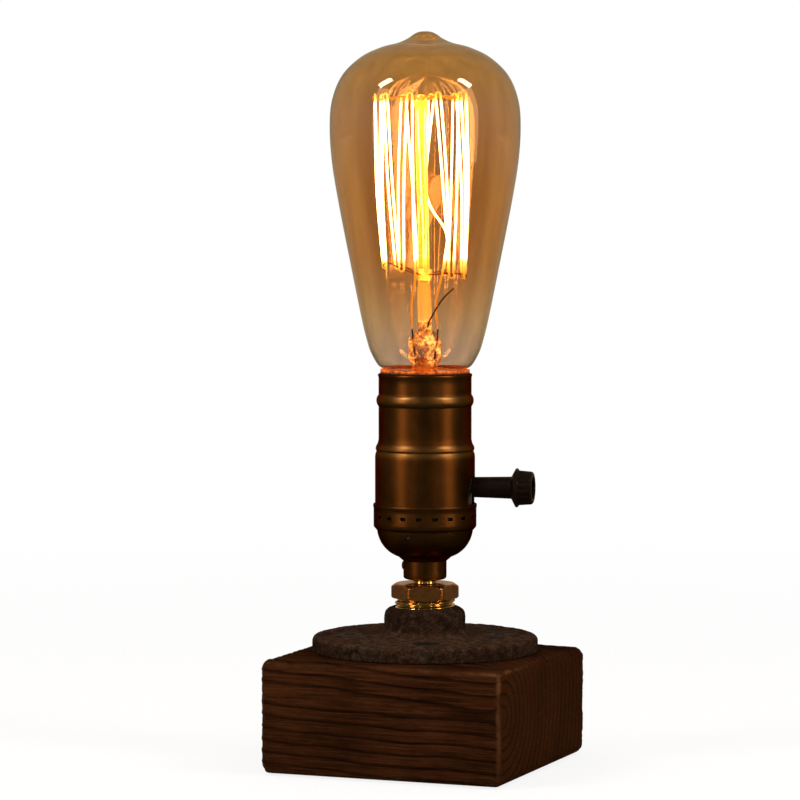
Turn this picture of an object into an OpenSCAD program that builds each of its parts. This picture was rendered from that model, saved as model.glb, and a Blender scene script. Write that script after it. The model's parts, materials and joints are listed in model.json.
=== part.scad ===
// Bare bulb table lamp: a wood block, a cast iron floor flange, a brass adapter,
// a brass lamp socket with a turn knob switch, and a clear amber filament bulb.
// Millimetres. Z is up, the origin is under the middle of the block, and the
// block's sides face along X and Y.

/* [Wood block] */
// Side of the square block
block_side = 86.5; // [80:0.5:100]
// Height of the block
block_h = 38.5; // [34:0.5:50]
// Radius that breaks the block's edges
block_edge = 3; // [0.5:0.5:4]

/* [Floor flange] */
// Diameter of the flange plate
flange_d = 77; // [74:0.5:78]
// Thickness of the plate at its rim
flange_t = 5.3; // [4.5:0.1:6]
// Diameter of the boss
boss_d = 27.9; // [27:0.1:30]
// Height of the boss over the block
boss_h = 15.1; // [14:0.1:16]
// Diameter of the screw circle
screw_circle = 51; // [50:0.5:56]
// Turn of the flange and of the hexagon about the lamp's axis
flange_turn = 21.5; // [0:0.5:90]

/* [Brass adapter] */
// Outer diameter of the pipe thread
pipe_d = 20.5; // [20:0.1:21]
// Length of pipe thread that shows over the boss
pipe_show = 2.9; // [2:0.1:4]
// Width of the hexagon across its corners
hex_corners = 23.5; // [22.5:0.1:25]
// Height of the hexagon
hex_h = 5.1; // [4:0.1:7]
// Diameter of the hollow stud
stud_d = 9.6; // [9.4:0.1:10]

/* [Socket] */
// Turn of the socket, which is the direction of the knob
socket_turn = 10; // [0:1:45]
// Diameter of the neck
neck_d = 14.7; // [14:0.1:16]
// Diameter of the pierced collar
collar_d = 35; // [34.6:0.1:36]
// Diameter of the shell's lower tube
lower_d = 34; // [33.8:0.1:34.2]
// Diameter of the shell's upper tube
upper_d = 31.6; // [31.5:0.1:31.8]
// Number of slots round the collar
collar_slots = 20; // [12:1:24]
// Number of flutes round the knob
knob_flutes = 16; // [12:1:20]

/* [Bulb] */
// Greatest diameter of the glass
bulb_d = 64.6; // [62:0.2:66]
// Thickness of the glass
glass_t = 0.8; // [0.6:0.1:1]
// Number of upper hooks for the filament
hook_count = 10; // [6:1:12]
// Radius of the ring of upper hooks
hook_ring_r = 15.4; // [14:0.1:18.5]
// Radius of the ring of lower hooks
low_ring_r = 14.1; // [12:0.1:16]
// Thickness of the filament
filament_d = 0.8; // [0.4:0.1:0.9]

/* [Hidden] */
$fn = 72;
slack = 0.05;      // radial clearance of a running fit
over = 1;          // how far a cut runs past a face

// Feet, block and the way for the wires
foot_d = 12;
foot_proud = 0.6;
foot_sunk = 1.2;
foot_inset = 12;
block_top = foot_proud + block_h;
wire_well_d = 14;
wire_well_floor = foot_proud + 10;
cord_way_d = 7;
cord_way_z = foot_proud + 15;
bush_d = 11;
bush_lip_d = 14;
bush_depth = 9;
bush_lip = 1.4;
bush_bore_d = 6.5;

// Flange and its screws, heights over the block
boss_round = 3.2;
boss_fillet = 2.8;
flange_bore_r = pipe_d / 2 + slack;
screw_hole_d = 5;
screw_head_d = 9.6;
screw_d = 4.6;
screw_len = 20;
screw_seat_z = flange_t - 0.05;   // height of the countersink's mouth over the block
screw_head_h = (screw_head_d - screw_d) / 2;

// Adapter, heights over the block
pipe_pitch = 1.814;
pipe_depth = 0.9;
pipe_low = 5;
hex_low = boss_h + pipe_show;
hex_top = hex_low + hex_h;
hex_chamfer = 1.4;     // height of the cones that break the hexagon's corners
relief_d = 7.8;
relief_h = 1;
stud_len = 9;
wire_bore_d = 6.1;

// Heights of the socket over the block's underside
base_z = foot_proud;
neck_low = 63;
bowl_low = 70;
seam_z = 80.3;
collar_low = 81.1;
collar_top = 88.8;
shell_low = 81.6;
shoulder_low = 105;
bead_low = 121.9;
bead_h = 4;
shell_top = 133;
sleeve_top = 134.7;
knob_z = 94.6;
brass_t = 0.55;
neck_bore_r = stud_d / 2 + slack;
bowl_mid_r = 6.2;       // centre of the bowl's quarter round
bowl_run = 10.2;
bowl_rise = 10.8;
slot_z = 84.7;
slot_w = 2.1;
slot_h = 1.3;
slot_phase = 4.1;
pin_hole_d = 1.8;
pin_hole_turn = -101;
pin_hole_z = 78.2;
notch_r = 5.5;
notch_top = 98.9;
sleeve_t = 0.5;
sleeve_low_r = lower_d / 2 - brass_t - 0.25;
sleeve_up_r = upper_d / 2 - brass_t - slack;
sleeve_step = 105;
body_r = 14.2;
body_top = 104;
body_foot_r = 15.3;
body_foot_low = 77.8;
boss_half = 4.3;
boss_reach = 15.9;
chamber_r = 5.5;
chamber_from = -6;
chamber_to = 10;
set_screw_d = 3.2;
set_screw_z = 67.5;
set_screw_proud = 0.65;
terminal_z = 87;
terminal_head_d = 6;
terminal_y = 13;

// Screw thread between bulb and socket: rounded rings of the lamp thread's pitch
lamp_pitch = 3.629;
lamp_turns = 4.5;
thread_low = 113;
cap_crest_r = 13.1;
cap_root_r = 12.45;
cap_wall = 0.3;
holder_crest_r = 13.22;   // least inner radius of the socket's screw shell
holder_root_r = 13.8;
holder_wall = 0.3;
holder_top = 131.4;
cap_low = 111.6;
cap_rim = 132.4;
contact_low = 107;
contact_h = 1.4;
insulator_top = 113;

// Switch, distances along the knob's axis from the lamp's axis
shaft_r = 2;
shaft_from = -9;
shaft_to = 27;
rotor_r = 4.8;
rotor_from = -4.5;
rotor_to = 8.5;
knob_from = 16.5;
stem_end = 30.2;
lip_at = 31.7;
head_from = 32.5;
knob_end = 37.3;
stem_r = 3.45;
stem_end_r = 3.75;
lip_r = 6.65;
head_r = 5.9;
head_end_r = 5.6;

// Bulb: outline of the glass as [height over the block's underside, radius]
neck_glass_r = 11.8;
neck_glass_low = 125;
bulb_r = bulb_d / 2;
glass_outline = [
    [neck_glass_low, neck_glass_r], [131.4, neck_glass_r], [133.2, 12.5], [134.6, 14.1], [136.1, 16.1],
    [140.2, 18.4], [144.3, 19.75], [152.2, 21.65], [171.3, 25.5], [191, 29.35], [205, bulb_r - 0.7],
    [217, bulb_r], [226, bulb_r - 0.9], [234, 28], [240, 21.8], [243.3, 15],
    [244.8, 9.3], [246.3, 5.9], [247.7, 3.9], [248.5, 2.1], [248.7, 0]];

// Glass mount
flare_r = neck_glass_r - glass_t;
flare_t = 1;
tube_r = 4.2;
press_low = 137.5;
press_top = 146;
press_w = 11;
press_t = 4.4;
low_rod_r = 2.3;
rod_r = 2.05;
bead_z = 166.6;
bead_r = 3;
rod_top = 226.5;
button_r = 2.5;
button_z = rod_top - 1.5;
cage_lean = 1.1;        // the rod and all that it carries lean to one side
lead_x = 4.4;
lead_foot_x = 1.9;
lead_r = 0.3;
lead_low = 128;
lead_top = 148;
support_r = 0.25;
support_sunk = 0.6;     // length of a support wire that is sealed in the glass
hook_reach = 1.3;       // of a hook's tip past the ring
anchor_r = 0.3;
anchor_foot = [0.4, -1.6, 147.4];
anchor_bend = [1.3, -2.8, 150.8];
seal = 0.02;            // play between a wire and the glass it is sealed in

// Filament, laid up and down between the hooks
filament_top = 227.8;
filament_low = 167;
filament_low_tilt = 2.2;      // the lower hooks drop to one side by this much
cage_turn = 21.5;             // turn of the bulb in its socket
first_hook = 292;             // angle of the first upper hook on the bulb
hook_step = 360 / hook_count;
bend_r = 0.9;                 // half width of the filament's bend over a hook
strand_mid_z = 197;
strand_swell = 0.8;           // how far a strand bows outwards
slack_strand = 3;             // this one sags behind the rod

// ---------------------------------------------------------------- helpers

// points of an arc about [x, y]
function arc(x, y, r, from, to, steps = 6) =
    [for (i = [0:steps]) let (a = from + (to - from) * i / steps) [x + r * cos(a), y + r * sin(a)]];

// one coordinate of a smooth curve through b and c, with neighbours a and d
function smooth(a, b, c, d, t) =
    0.5 * (2 * b + (c - a) * t + (2 * a - 5 * b + 4 * c - d) * t * t + (3 * b - a - 3 * c + d) * t * t * t);

// points of a smooth curve through all the given points
function curve(p, steps = 3) = let (last = len(p) - 1) concat(
    [for (i = [0:last - 1]) for (s = [0:steps - 1]) let (t = s / steps)
        smooth(p[max(i - 1, 0)], p[i], p[i + 1], p[min(i + 2, last)], t)],
    [p[last]]);

// points moved inwards by t, square to the curve
function inset(p, t) = [for (i = [0:len(p) - 1])
    let (d = p[min(i + 1, len(p) - 1)] - p[max(i - 1, 0)], q = p[i] - t * [d[1], -d[0]] / norm(d))
    [max(q[0], 0), q[1]]];

function reversed(p) = [for (i = [len(p) - 1:-1:0]) p[i]];

// rounded rings along a tube's side: [radius, height]
function rings(root, crest, pitch, turns, low, steps = 8) =
    [for (i = [0:turns * steps]) let (a = 360 * i / steps)
        [(root + crest) / 2 - (crest - root) / 2 * cos(a), low + pitch * i / steps]];

module lathe(points) {
    rotate_extrude() polygon(points);
}

module tube(r_out, r_in, from, to) {
    translate([0, 0, from]) difference() {
        cylinder(r = r_out, h = to - from);
        translate([0, 0, -over]) cylinder(r = r_in, h = to - from + 2 * over);
    }
}

// lays a shape that stands on Z along the knob's axis
module on_knob_axis() {
    translate([0, 0, base_z + knob_z]) rotate([0, 90, 0]) children();
}

module in_socket() {
    rotate([0, 0, socket_turn]) children();
}

module on_screw_circle() {
    for (i = [0:3]) rotate([0, 0, flange_turn + 90 * i]) translate([screw_circle / 2, 0, 0]) children();
}

module at_feet() {
    for (x = [-1, 1], y = [-1, 1])
        translate([x * (block_side / 2 - foot_inset), y * (block_side / 2 - foot_inset), 0]) children();
}

// slab with round corners in its outline, centred on the axis
module rounded_slab(w, d, h, r) {
    linear_extrude(height = h, center = true) {
        square([w - 2 * r, d], center = true);
        square([w, d - 2 * r], center = true);
        for (x = [-1, 1], y = [-1, 1]) translate([x * (w / 2 - r), y * (d / 2 - r)]) circle(r = r);
    }
}

// straight round wire between two points
module wire(a, b, r) {
    d = b - a;
    length = norm(d);
    translate(a) rotate([0, acos(d[2] / length), atan2(d[1], d[0])]) cylinder(r = r, h = length, $fn = 16);
}

// tube swept along a path; each ring lies between its path's direction and the lamp's axis
module swept(path, r, sides = 6) {
    last = len(path) - 1;
    function along(i) = let (d = path[min(i + 1, last)] - path[max(i - 1, 0)]) d / norm(d);
    function outward(i) = let (p = path[i], o = [p[0], p[1], 0], t = along(i), n = o - (o * t) * t) n / norm(n);
    points = [for (i = [0:last]) let (n = outward(i), b = cross(along(i), n))
        for (s = [0:sides - 1]) path[i] + r * (cos(360 * s / sides) * n + sin(360 * s / sides) * b)];
    sides_faces = [for (i = [0:last - 1], s = [0:sides - 1]) let (a = i * sides + s, b = i * sides + (s + 1) % sides)
        each [[a, b, a + sides], [b, b + sides, a + sides]]];
    low_cap = [for (s = [1:sides - 2]) [0, s + 1, s]];
    top_cap = [for (s = [1:sides - 2]) [last * sides, last * sides + s, last * sides + s + 1]];
    polyhedron(points = points, faces = [for (f = concat(sides_faces, low_cap, top_cap)) [f[0], f[2], f[1]]]);
}

// ---------------------------------------------------------------- base

module wood_block() {
    back = block_side / 2;
    color("saddlebrown") difference() {
        translate([0, 0, foot_proud + block_h / 2]) intersection() {
            rounded_slab(block_side, block_side, block_h, block_edge);
            rotate([90, 0, 0]) rounded_slab(block_side, block_h, block_side, block_edge);
            rotate([0, 90, 0]) rounded_slab(block_h, block_side, block_side, block_edge);
        }
        translate([0, 0, wire_well_floor]) cylinder(d = wire_well_d, h = block_h);
        translate([0, 0, cord_way_z]) rotate([-90, 0, 0]) cylinder(d = cord_way_d, h = block_side);
        translate([0, back - bush_depth, cord_way_z]) rotate([-90, 0, 0])
            cylinder(d = bush_d, h = bush_depth + over);
        translate([0, back - bush_lip, cord_way_z]) rotate([-90, 0, 0])
            cylinder(d = bush_lip_d, h = bush_lip + over);
        at_feet() translate([0, 0, foot_proud - over]) cylinder(d = foot_d, h = foot_sunk + over);
        on_screw_circle() translate([0, 0, block_top - screw_len]) cylinder(d = screw_d, h = screw_len + over);
    }
}

module rubber_feet() {
    color("dimgray") at_feet()
        lathe(concat([[0, 0]], arc(foot_d / 2 - 0.4, 0.4, 0.4, -90, 0, 3),
            [[foot_d / 2, foot_proud + foot_sunk], [0, foot_proud + foot_sunk]]));
}

module cord_bush() {
    color("black") translate([0, block_side / 2 - bush_lip, cord_way_z]) rotate([-90, 0, 0]) lathe(concat(
        [[bush_bore_d / 2, bush_lip - bush_depth], [bush_d / 2, bush_lip - bush_depth], [bush_d / 2, 0],
            [bush_lip_d / 2, 0]],
        arc(bush_lip_d / 2 - 1, bush_lip - 1, 1, 0, 90, 4),
        arc(bush_bore_d / 2 + 0.8, bush_lip - 0.8, 0.8, 90, 180, 4)));
}

module floor_flange() {
    top = flange_t;
    rim = flange_d / 2;
    boss = boss_d / 2;
    color([0.24, 0.21, 0.19]) translate([0, 0, block_top]) difference() {
        lathe(concat(
            [[flange_bore_r, 0]],
            arc(rim - 0.8, 0.8, 0.8, -90, 0, 4),
            arc(rim - 1.8, top - 1.8, 1.8, 0, 80, 5),
            [[rim - 9, top + 0.15]],
            arc(boss + boss_fillet, top + 0.5 + boss_fillet, boss_fillet, -90, -180, 6),
            arc(boss - boss_round, boss_h - boss_round, boss_round, 0, 90, 6),
            [[flange_bore_r + 0.8, boss_h], [flange_bore_r, boss_h - 0.8]]));
        on_screw_circle() {
            translate([0, 0, -over]) cylinder(d = screw_hole_d, h = flange_t + 2 * over);
            translate([0, 0, screw_seat_z - screw_head_h]) cylinder(r1 = screw_d / 2, r2 = screw_d / 2 + 2 * screw_head_h,
                h = 2 * screw_head_h);
        }
    }
}

module flange_screws() {
    color([0.2, 0.18, 0.16]) on_screw_circle() difference() {
        lathe([[0, block_top - screw_len], [screw_d / 4, block_top - screw_len + 2],
            [screw_d / 2, block_top - screw_len + 5], [screw_d / 2, block_top + screw_seat_z - screw_head_h],
            [screw_head_d / 2, block_top + screw_seat_z], [screw_head_d / 2 - 0.4, block_top + screw_seat_z + 0.2],
            [0, block_top + screw_seat_z + 0.3]]);
        for (a = [0, 90]) translate([0, 0, block_top + screw_seat_z]) rotate([0, 0, 45 + a])
            cube([5, 1.1, 2.4], center = true);
    }
}

module brass_adapter() {
    root = pipe_d / 2 - pipe_depth;
    hex_r = hex_corners / 2;
    flat_r = hex_r * cos(30);
    turns = floor((hex_low - pipe_low) / pipe_pitch);
    color([0.8, 0.6, 0.28]) translate([0, 0, block_top]) difference() {
        union() {
            lathe(concat([[0, pipe_low - 0.5], [root - 0.5, pipe_low - 0.5]],
                rings(root, pipe_d / 2, pipe_pitch, turns, hex_low - turns * pipe_pitch, 4),
                [[root, hex_low + 0.5], [0, hex_low + 0.5]]));
            intersection() {
                translate([0, 0, hex_low]) rotate([0, 0, flange_turn]) cylinder(r = hex_r, h = hex_h, $fn = 6);
                lathe([[0, hex_low], [flat_r + 0.3, hex_low], [hex_r + over, hex_low + hex_chamfer],
                    [hex_r + over, hex_top - hex_chamfer], [flat_r - 0.3, hex_top], [0, hex_top]]);
            }
            lathe([[0, hex_top - 0.5], [relief_d / 2, hex_top - 0.5], [relief_d / 2, hex_top + relief_h],
                [stud_d / 2 - 0.4, hex_top + relief_h], [stud_d / 2, hex_top + relief_h + 0.4],
                [stud_d / 2, hex_top + stud_len - 0.5], [stud_d / 2 - 0.5, hex_top + stud_len],
                [0, hex_top + stud_len]]);
        }
        translate([0, 0, pipe_low - over]) cylinder(d = wire_bore_d, h = hex_top + stud_len);
        translate([0, 0, pipe_low - over]) cylinder(r = 7, h = hex_low - pipe_low - over);
    }
}

// ---------------------------------------------------------------- socket

module socket_cap() {
    out = collar_d / 2;
    in = lower_d / 2 + slack;
    neck = neck_d / 2;
    function bowl(run, rise, from, to) = [for (a = [from:(to - from) / 8:to])
        [bowl_mid_r + run * cos(a), collar_low + rise * sin(a)]];
    color([0.42, 0.29, 0.14]) translate([0, 0, base_z]) in_socket() difference() {
        lathe(concat(
            [[neck_bore_r, neck_low]],
            arc(neck - 1, neck_low + 1, 1, -90, 0, 4),
            [[neck, bowl_low - 0.6]],
            bowl(bowl_run, bowl_rise, -73, -6),
            [[out - 0.75, seam_z], [out, collar_low], [out, collar_top - 1.2], [out + 0.15, collar_top - 0.9]],
            arc(out - 0.15, collar_top - 0.3, 0.3, 0, 90, 3),
            [[in, collar_top], [in, shell_low], [bowl_mid_r + bowl_run - brass_t, shell_low]],
            reversed(bowl(bowl_run - brass_t - 0.1, bowl_rise - brass_t - 0.1, -80, 0)),
            [[neck_bore_r, bowl_low + 0.9]]));
        collar_piercing();
        rotate([0, 0, 180]) translate([0, 0, set_screw_z]) rotate([0, 90, 0])
            cylinder(d = set_screw_d, h = neck + over);
        rotate([0, 0, pin_hole_turn]) translate([out - 6, 0, pin_hole_z]) rotate([0, 90, 0])
            cylinder(d = pin_hole_d, h = 8);
    }
}

// the slots of the pierced collar, which pass through the shell behind it too
module collar_piercing() {
    for (i = [0:collar_slots - 1]) rotate([0, 0, slot_phase + 360 / collar_slots * i])
        translate([lower_d / 2, 0, slot_z]) cube([4, slot_w, slot_h], center = true);
}

module set_screw() {
    tip = neck_d / 2 + set_screw_proud;
    color([0.35, 0.26, 0.15]) translate([0, 0, base_z + set_screw_z]) in_socket() rotate([0, -90, 0]) difference() {
        lathe([[0, neck_bore_r], [set_screw_d / 2 - 0.3, neck_bore_r], [set_screw_d / 2, neck_bore_r + 0.3],
            [set_screw_d / 2, tip - 0.7], [set_screw_d / 2 - 0.2, tip - 0.35], [set_screw_d / 2 - 0.7, tip - 0.08],
            [0, tip]]);
        translate([0, 0, tip]) cube([4, 0.6, 1.6], center = true);
    }
}

module shell_wall() {
    low = lower_d / 2;
    up = upper_d / 2;
    t = brass_t;
    z = shoulder_low;
    lathe(concat(
        [[low - t, shell_low], [low, shell_low]],
        curve([[low, z], [low - 0.12, z + 1.5], [low - 0.3, z + 2.1]], 2),
        curve([[low - 0.26, z + 2.3], [low - 0.5, z + 3.1], [up + 0.3, z + 4.3], [up, z + 5.8]]),
        [[up, bead_low]],
        arc(up - 2.3, bead_low + bead_h / 2, 3.05, -41, 41, 8),
        [[up, bead_low + bead_h], [up, shell_top - 1.3], [up + 0.2, shell_top - 0.7]],
        arc(up - 0.15, shell_top - 0.35, 0.35, 0, 180, 6),
        [[up - t, shell_top - 1.3], [up - t, bead_low + bead_h + 0.3]],
        arc(up - t - 2.3, bead_low + bead_h / 2, 3.05, 38, -38, 6),
        [[up - t, bead_low - 0.3]],
        curve([[up - t, z + 5.6], [up + 0.25 - t, z + 4.2], [low - 0.55 - t, z + 2.8], [low - t, z + 0.6]])));
}

module socket_shell() {
    color([0.4, 0.28, 0.13]) translate([0, 0, base_z]) in_socket() difference() {
        shell_wall();
        notch(notch_r, notch_top);
        collar_piercing();
    }
}

// slot with a round upper end, on the knob's side, open at the lower edge
module notch(r, top) {
    translate([body_r - 1.5, 0, top - r]) rotate([0, 90, 0]) cylinder(r = r, h = 8);
    translate([body_r - 1.5, -r, shell_low - over]) cube([8, 2 * r, top - r - shell_low + over]);
}

module insulating_sleeve() {
    t = sleeve_t;
    color([0.75, 0.42, 0.15]) translate([0, 0, base_z]) in_socket() difference() {
        lathe([[sleeve_low_r - t, shell_low], [sleeve_low_r, shell_low], [sleeve_low_r, sleeve_step - 0.6],
            [sleeve_up_r, sleeve_step + 0.6], [sleeve_up_r, sleeve_top - 0.2], [sleeve_up_r - 0.2, sleeve_top],
            [sleeve_up_r - t, sleeve_top], [sleeve_up_r - t, sleeve_step], [sleeve_low_r - t, sleeve_step - 1]]);
        notch(boss_half + 0.2, knob_z + boss_half + 0.2);
    }
}

module socket_body() {
    color([0.1, 0.09, 0.08]) translate([0, 0, base_z]) in_socket() difference() {
        union() {
            translate([0, 0, body_foot_low]) cylinder(r = body_foot_r, h = 4.5);
            translate([0, 0, body_foot_low]) cylinder(r = body_r, h = body_top - body_foot_low);
            intersection() {
                union() {
                    translate([0, 0, knob_z]) rotate([0, 90, 0]) cylinder(r = boss_half, h = 20);
                    translate([0, -boss_half, shell_low]) cube([20, 2 * boss_half, knob_z - shell_low]);
                }
                translate([0, 0, shell_low]) cylinder(r = boss_reach, h = 30);
            }
        }
        translate([chamber_from, 0, knob_z]) rotate([0, 90, 0]) cylinder(r = chamber_r, h = chamber_to - chamber_from);
        translate([shaft_from - 0.5, 0, knob_z]) rotate([0, 90, 0]) cylinder(r = shaft_r + slack, h = 30);
        translate([-5, -2.2, knob_z - chamber_r - 0.6]) cube([14, 4.4, 2]);
        for (s = [-1, 1]) {
            translate([-4, s * (terminal_y + 2.4) - 4, terminal_z - 4]) cube([8, 8, 8]);
            translate([0, 0, terminal_z]) rotate([-90 * s, 0, 0]) translate([0, 0, 7]) cylinder(d = 3.2, h = 8);
        }
        translate([0, 0, body_foot_low - over]) cylinder(r = 10, h = 4.5);
        for (s = [-1, 1]) translate([0, s * 8.5, body_foot_low]) cylinder(r = 1.6, h = 8);
    }
}

module screw_shell() {
    wall = holder_wall;
    low = thread_low - lamp_pitch;
    outer = rings(holder_crest_r + wall, holder_root_r + wall, lamp_pitch, lamp_turns + 0.5, low);
    inner = rings(holder_crest_r, holder_root_r, lamp_pitch, lamp_turns + 0.5, low);
    color([0.8, 0.66, 0.4]) translate([0, 0, base_z]) lathe(concat(
        [[7, body_top], [holder_crest_r + wall - 0.2, body_top], [holder_crest_r + wall, body_top + 0.4]],
        outer,
        [[holder_crest_r + wall + 0.4, holder_top], [holder_crest_r + 0.1, holder_top]],
        reversed(inner),
        [[holder_crest_r, body_top + 0.6], [holder_crest_r - 0.2, body_top + 0.5], [7, body_top + 0.5]]));
}

module centre_contact() {
    top = contact_low - 0.35;
    color([0.82, 0.66, 0.38]) translate([0, 0, base_z]) in_socket() rotate([90, 0, 0])
        linear_extrude(height = 5, center = true) polygon([
            [-6, body_top], [-2, body_top], [1.8, top - 0.5], [4.6, top - 0.5], [5.6, top - 1.2],
            [5.9, top - 0.9], [4.8, top], [1.5, top], [-2.2, body_top + 0.5], [-6, body_top + 0.5]]);
}

module terminal_screws() {
    color([0.78, 0.62, 0.3]) translate([0, 0, base_z]) in_socket() for (s = [-1, 1])
        translate([0, 0, terminal_z]) rotate([-90 * s, 0, 0]) difference() {
            lathe([[0, 7], [1.6, 7], [1.6, terminal_y - 1.6], [terminal_head_d / 2, terminal_y - 1.6],
                [terminal_head_d / 2, terminal_y - 0.5], [terminal_head_d / 2 - 0.5, terminal_y], [0, terminal_y]]);
            translate([0, 0, terminal_y]) cube([7, 0.8, 1.4], center = true);
        }
}

module contact_blade() {
    low = knob_z - chamber_r - 0.6;
    color([0.8, 0.5, 0.3]) translate([0, 0, base_z]) in_socket() rotate([90, 0, 0])
        linear_extrude(height = 4, center = true) polygon([
            [-4.8, low], [8.6, low], [8.6, low + 0.3], [5, low + 0.3], [3.5, low + 0.8], [0.5, low + 0.8],
            [-1, low + 0.3], [-4.8, low + 0.3]]);
}

// ---------------------------------------------------------------- switch

module switch_shaft() {
    color([0.75, 0.6, 0.32]) in_socket() on_knob_axis() lathe([
        [0, shaft_from], [shaft_r - 0.3, shaft_from], [shaft_r, shaft_from + 0.3],
        [shaft_r, shaft_to - 0.5], [shaft_r - 0.5, shaft_to], [0, shaft_to]]);
}

module switch_rotor() {
    color([0.85, 0.8, 0.7]) in_socket() on_knob_axis() difference() {
        translate([0, 0, rotor_from]) cylinder(r = rotor_r, h = rotor_to - rotor_from);
        translate([0, 0, rotor_from - over]) cylinder(r = shaft_r, h = rotor_to - rotor_from + 2 * over);
        for (a = [0:90:270]) rotate([0, 0, a + 45]) translate([rotor_r, 0, 2])
            cylinder(r = 1.3, h = rotor_to - rotor_from, center = true);
    }
}

module switch_knob() {
    color([0.09, 0.07, 0.06]) in_socket() on_knob_axis() difference() {
        lathe(concat(
            [[0, knob_from], [stem_r - 0.4, knob_from], [stem_r, knob_from + 0.4], [stem_end_r, stem_end - 0.5]],
            [[stem_end_r + 0.4, stem_end], [lip_r - 0.5, lip_at - 0.5]],
            arc(lip_r - 0.4, lip_at, 0.4, -40, 60, 4),
            [[head_r, head_from], [head_end_r, knob_end - 0.9]],
            arc(head_end_r - 0.9, knob_end - 0.9, 0.9, 0, 90, 4),
            [[4.2, knob_end], [3.7, knob_end - 1.8], [1.2, knob_end - 2.2], [0, knob_end - 2.2]]));
        translate([0, 0, knob_from - over]) cylinder(r = shaft_r, h = shaft_to - knob_from + over);
        for (i = [0:knob_flutes - 1]) rotate([0, 0, 360 / knob_flutes * i])
            translate([head_r + 0.25, 0, head_from + 0.2]) cylinder(r = 0.75, h = knob_end);
    }
}

// ---------------------------------------------------------------- bulb

module bulb_screw_cap() {
    w = cap_wall;
    outer = rings(cap_root_r, cap_crest_r, lamp_pitch, lamp_turns, thread_low);
    inner = rings(cap_root_r - w, cap_crest_r - w, lamp_pitch, lamp_turns, thread_low);
    color([0.84, 0.72, 0.45]) translate([0, 0, base_z]) lathe(concat(
        [[11.4, cap_low], [12, cap_low], [cap_root_r, cap_low + 0.6]],
        outer,
        [[cap_crest_r, cap_rim - 0.3], [cap_crest_r - 0.2, cap_rim], [cap_crest_r - w, cap_rim]],
        reversed(inner),
        [[cap_root_r - w, cap_low + 1], [11.4, cap_low + 0.4]]));
}

module cap_insulator() {
    low = contact_low + contact_h;
    color([0.06, 0.05, 0.06]) translate([0, 0, base_z]) lathe(concat(
        [[0, low - 0.6], [4.3, low - 0.6], [5.4, low]],
        curve([[5.4, low], [7.6, low + 0.5], [9.8, low + 1.7], [11.35, cap_low]], 2),
        [[11.35, cap_low + 0.4], [cap_root_r - cap_wall - slack, cap_low + 1.05],
        [cap_root_r - cap_wall - slack, insulator_top], [0, insulator_top]]));
}

module cap_contact() {
    top = contact_low + contact_h;
    color([0.75, 0.72, 0.66]) translate([0, 0, base_z]) lathe(concat(
        [[0, contact_low]], arc(4.8 - 0.5, contact_low + 0.5, 0.5, -90, 0, 3),
        [[4.8, top - 0.6], [0, top - 0.6]]));
}

module basing_cement() {
    color([0.9, 0.88, 0.8]) translate([0, 0, base_z])
        tube(cap_root_r - cap_wall - slack, neck_glass_r, neck_glass_low, neck_glass_low + 6);
}

module glass_envelope() {
    side = curve([for (p = glass_outline) [p[1], p[0]]]);
    color([0.95, 0.78, 0.5, 0.35]) translate([0, 0, base_z])
        lathe(concat(side, reversed(inset(side, glass_t))));
}

// turns the parts inside the bulb to the side that the bulb ends up facing
module in_bulb() {
    translate([0, 0, base_z]) rotate([0, 0, cage_turn]) children();
}

// leans the rod and what it carries about the top of the press
module leaning() {
    translate([0, 0, press_top]) rotate([0, -cage_lean, 0]) translate([0, 0, -press_top]) children();
}

module glass_mount() {
    t = flare_t;
    flare = curve([[flare_r, neck_glass_low + t], [flare_r - 0.8, neck_glass_low + 1.7], [8, 128.6], [5.4, 131],
        [tube_r, 134.4], [tube_r, press_low - 1.5]]);
    color([0.95, 0.85, 0.7, 0.5]) in_bulb() difference() {
        union() {
            lathe(concat([[flare_r, neck_glass_low]], flare, [[tube_r, press_low + 0.5], [0, press_low + 0.5],
                [0, press_low - 1.5]], reversed(inset(flare, t))));
            translate([0, 0, press_low]) linear_extrude(height = press_top - press_low) {
                square([press_w - press_t, press_t], center = true);
                for (s = [-1, 1]) translate([s * (press_w - press_t) / 2, 0]) circle(d = press_t);
            }
            leaning() {
                lathe([[0, press_top - 1], [low_rod_r + 1, press_top - 1], [low_rod_r, press_top + 2],
                    [low_rod_r, bead_z - 6], [rod_r, bead_z - bead_r - 0.2], [rod_r, rod_top - 3],
                    [0, rod_top - 3]]);
                translate([0, 0, button_z]) sphere(r = button_r);
                translate([0, 0, rod_top - 6]) cylinder(r = rod_r, h = 4);
            }
        }
        leads(seal);
        wire(anchor_foot, anchor_bend, anchor_r + 5 * seal);
        leaning() upper_arms(seal);
    }
}

module mount_bead() {
    color([0.95, 0.8, 0.6, 0.5]) in_bulb() leaning() difference() {
        translate([0, 0, bead_z]) sphere(r = bead_r);
        translate([0, 0, bead_z]) cylinder(r = rod_r + seal, h = 3 * bead_r, center = true);
        lower_arms(seal);
    }
}

// place of a point on the bulb's ring: angle on the bulb, radius, height
function on_bulb(a, r, z) = [r * cos(a), r * sin(a), z];
function hook_angle(k) = first_hook + hook_step * k;
function low_z(a) = filament_low - filament_low_tilt * cos(a);

// wires from the button at the rod's top, through the filament's upper bends
module upper_arms(play = 0) {
    eye = filament_top - bend_r - 0.05;
    for (k = [0:hook_count - 1]) let (a = hook_angle(k))
        wire(on_bulb(a, button_r - support_sunk, button_z + 0.6), on_bulb(a, hook_ring_r + 0.5, eye),
            support_r + play);
}

// wires from the bead, through the filament's lower bends
module lower_arms(play = 0) {
    for (k = [0:hook_count - 2]) let (a = hook_angle(k + 0.5))
        wire(on_bulb(a, bead_r - support_sunk, bead_z), on_bulb(a, low_ring_r + 0.5, low_z(a) + bend_r + 0.05),
            support_r + play);
}

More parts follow.
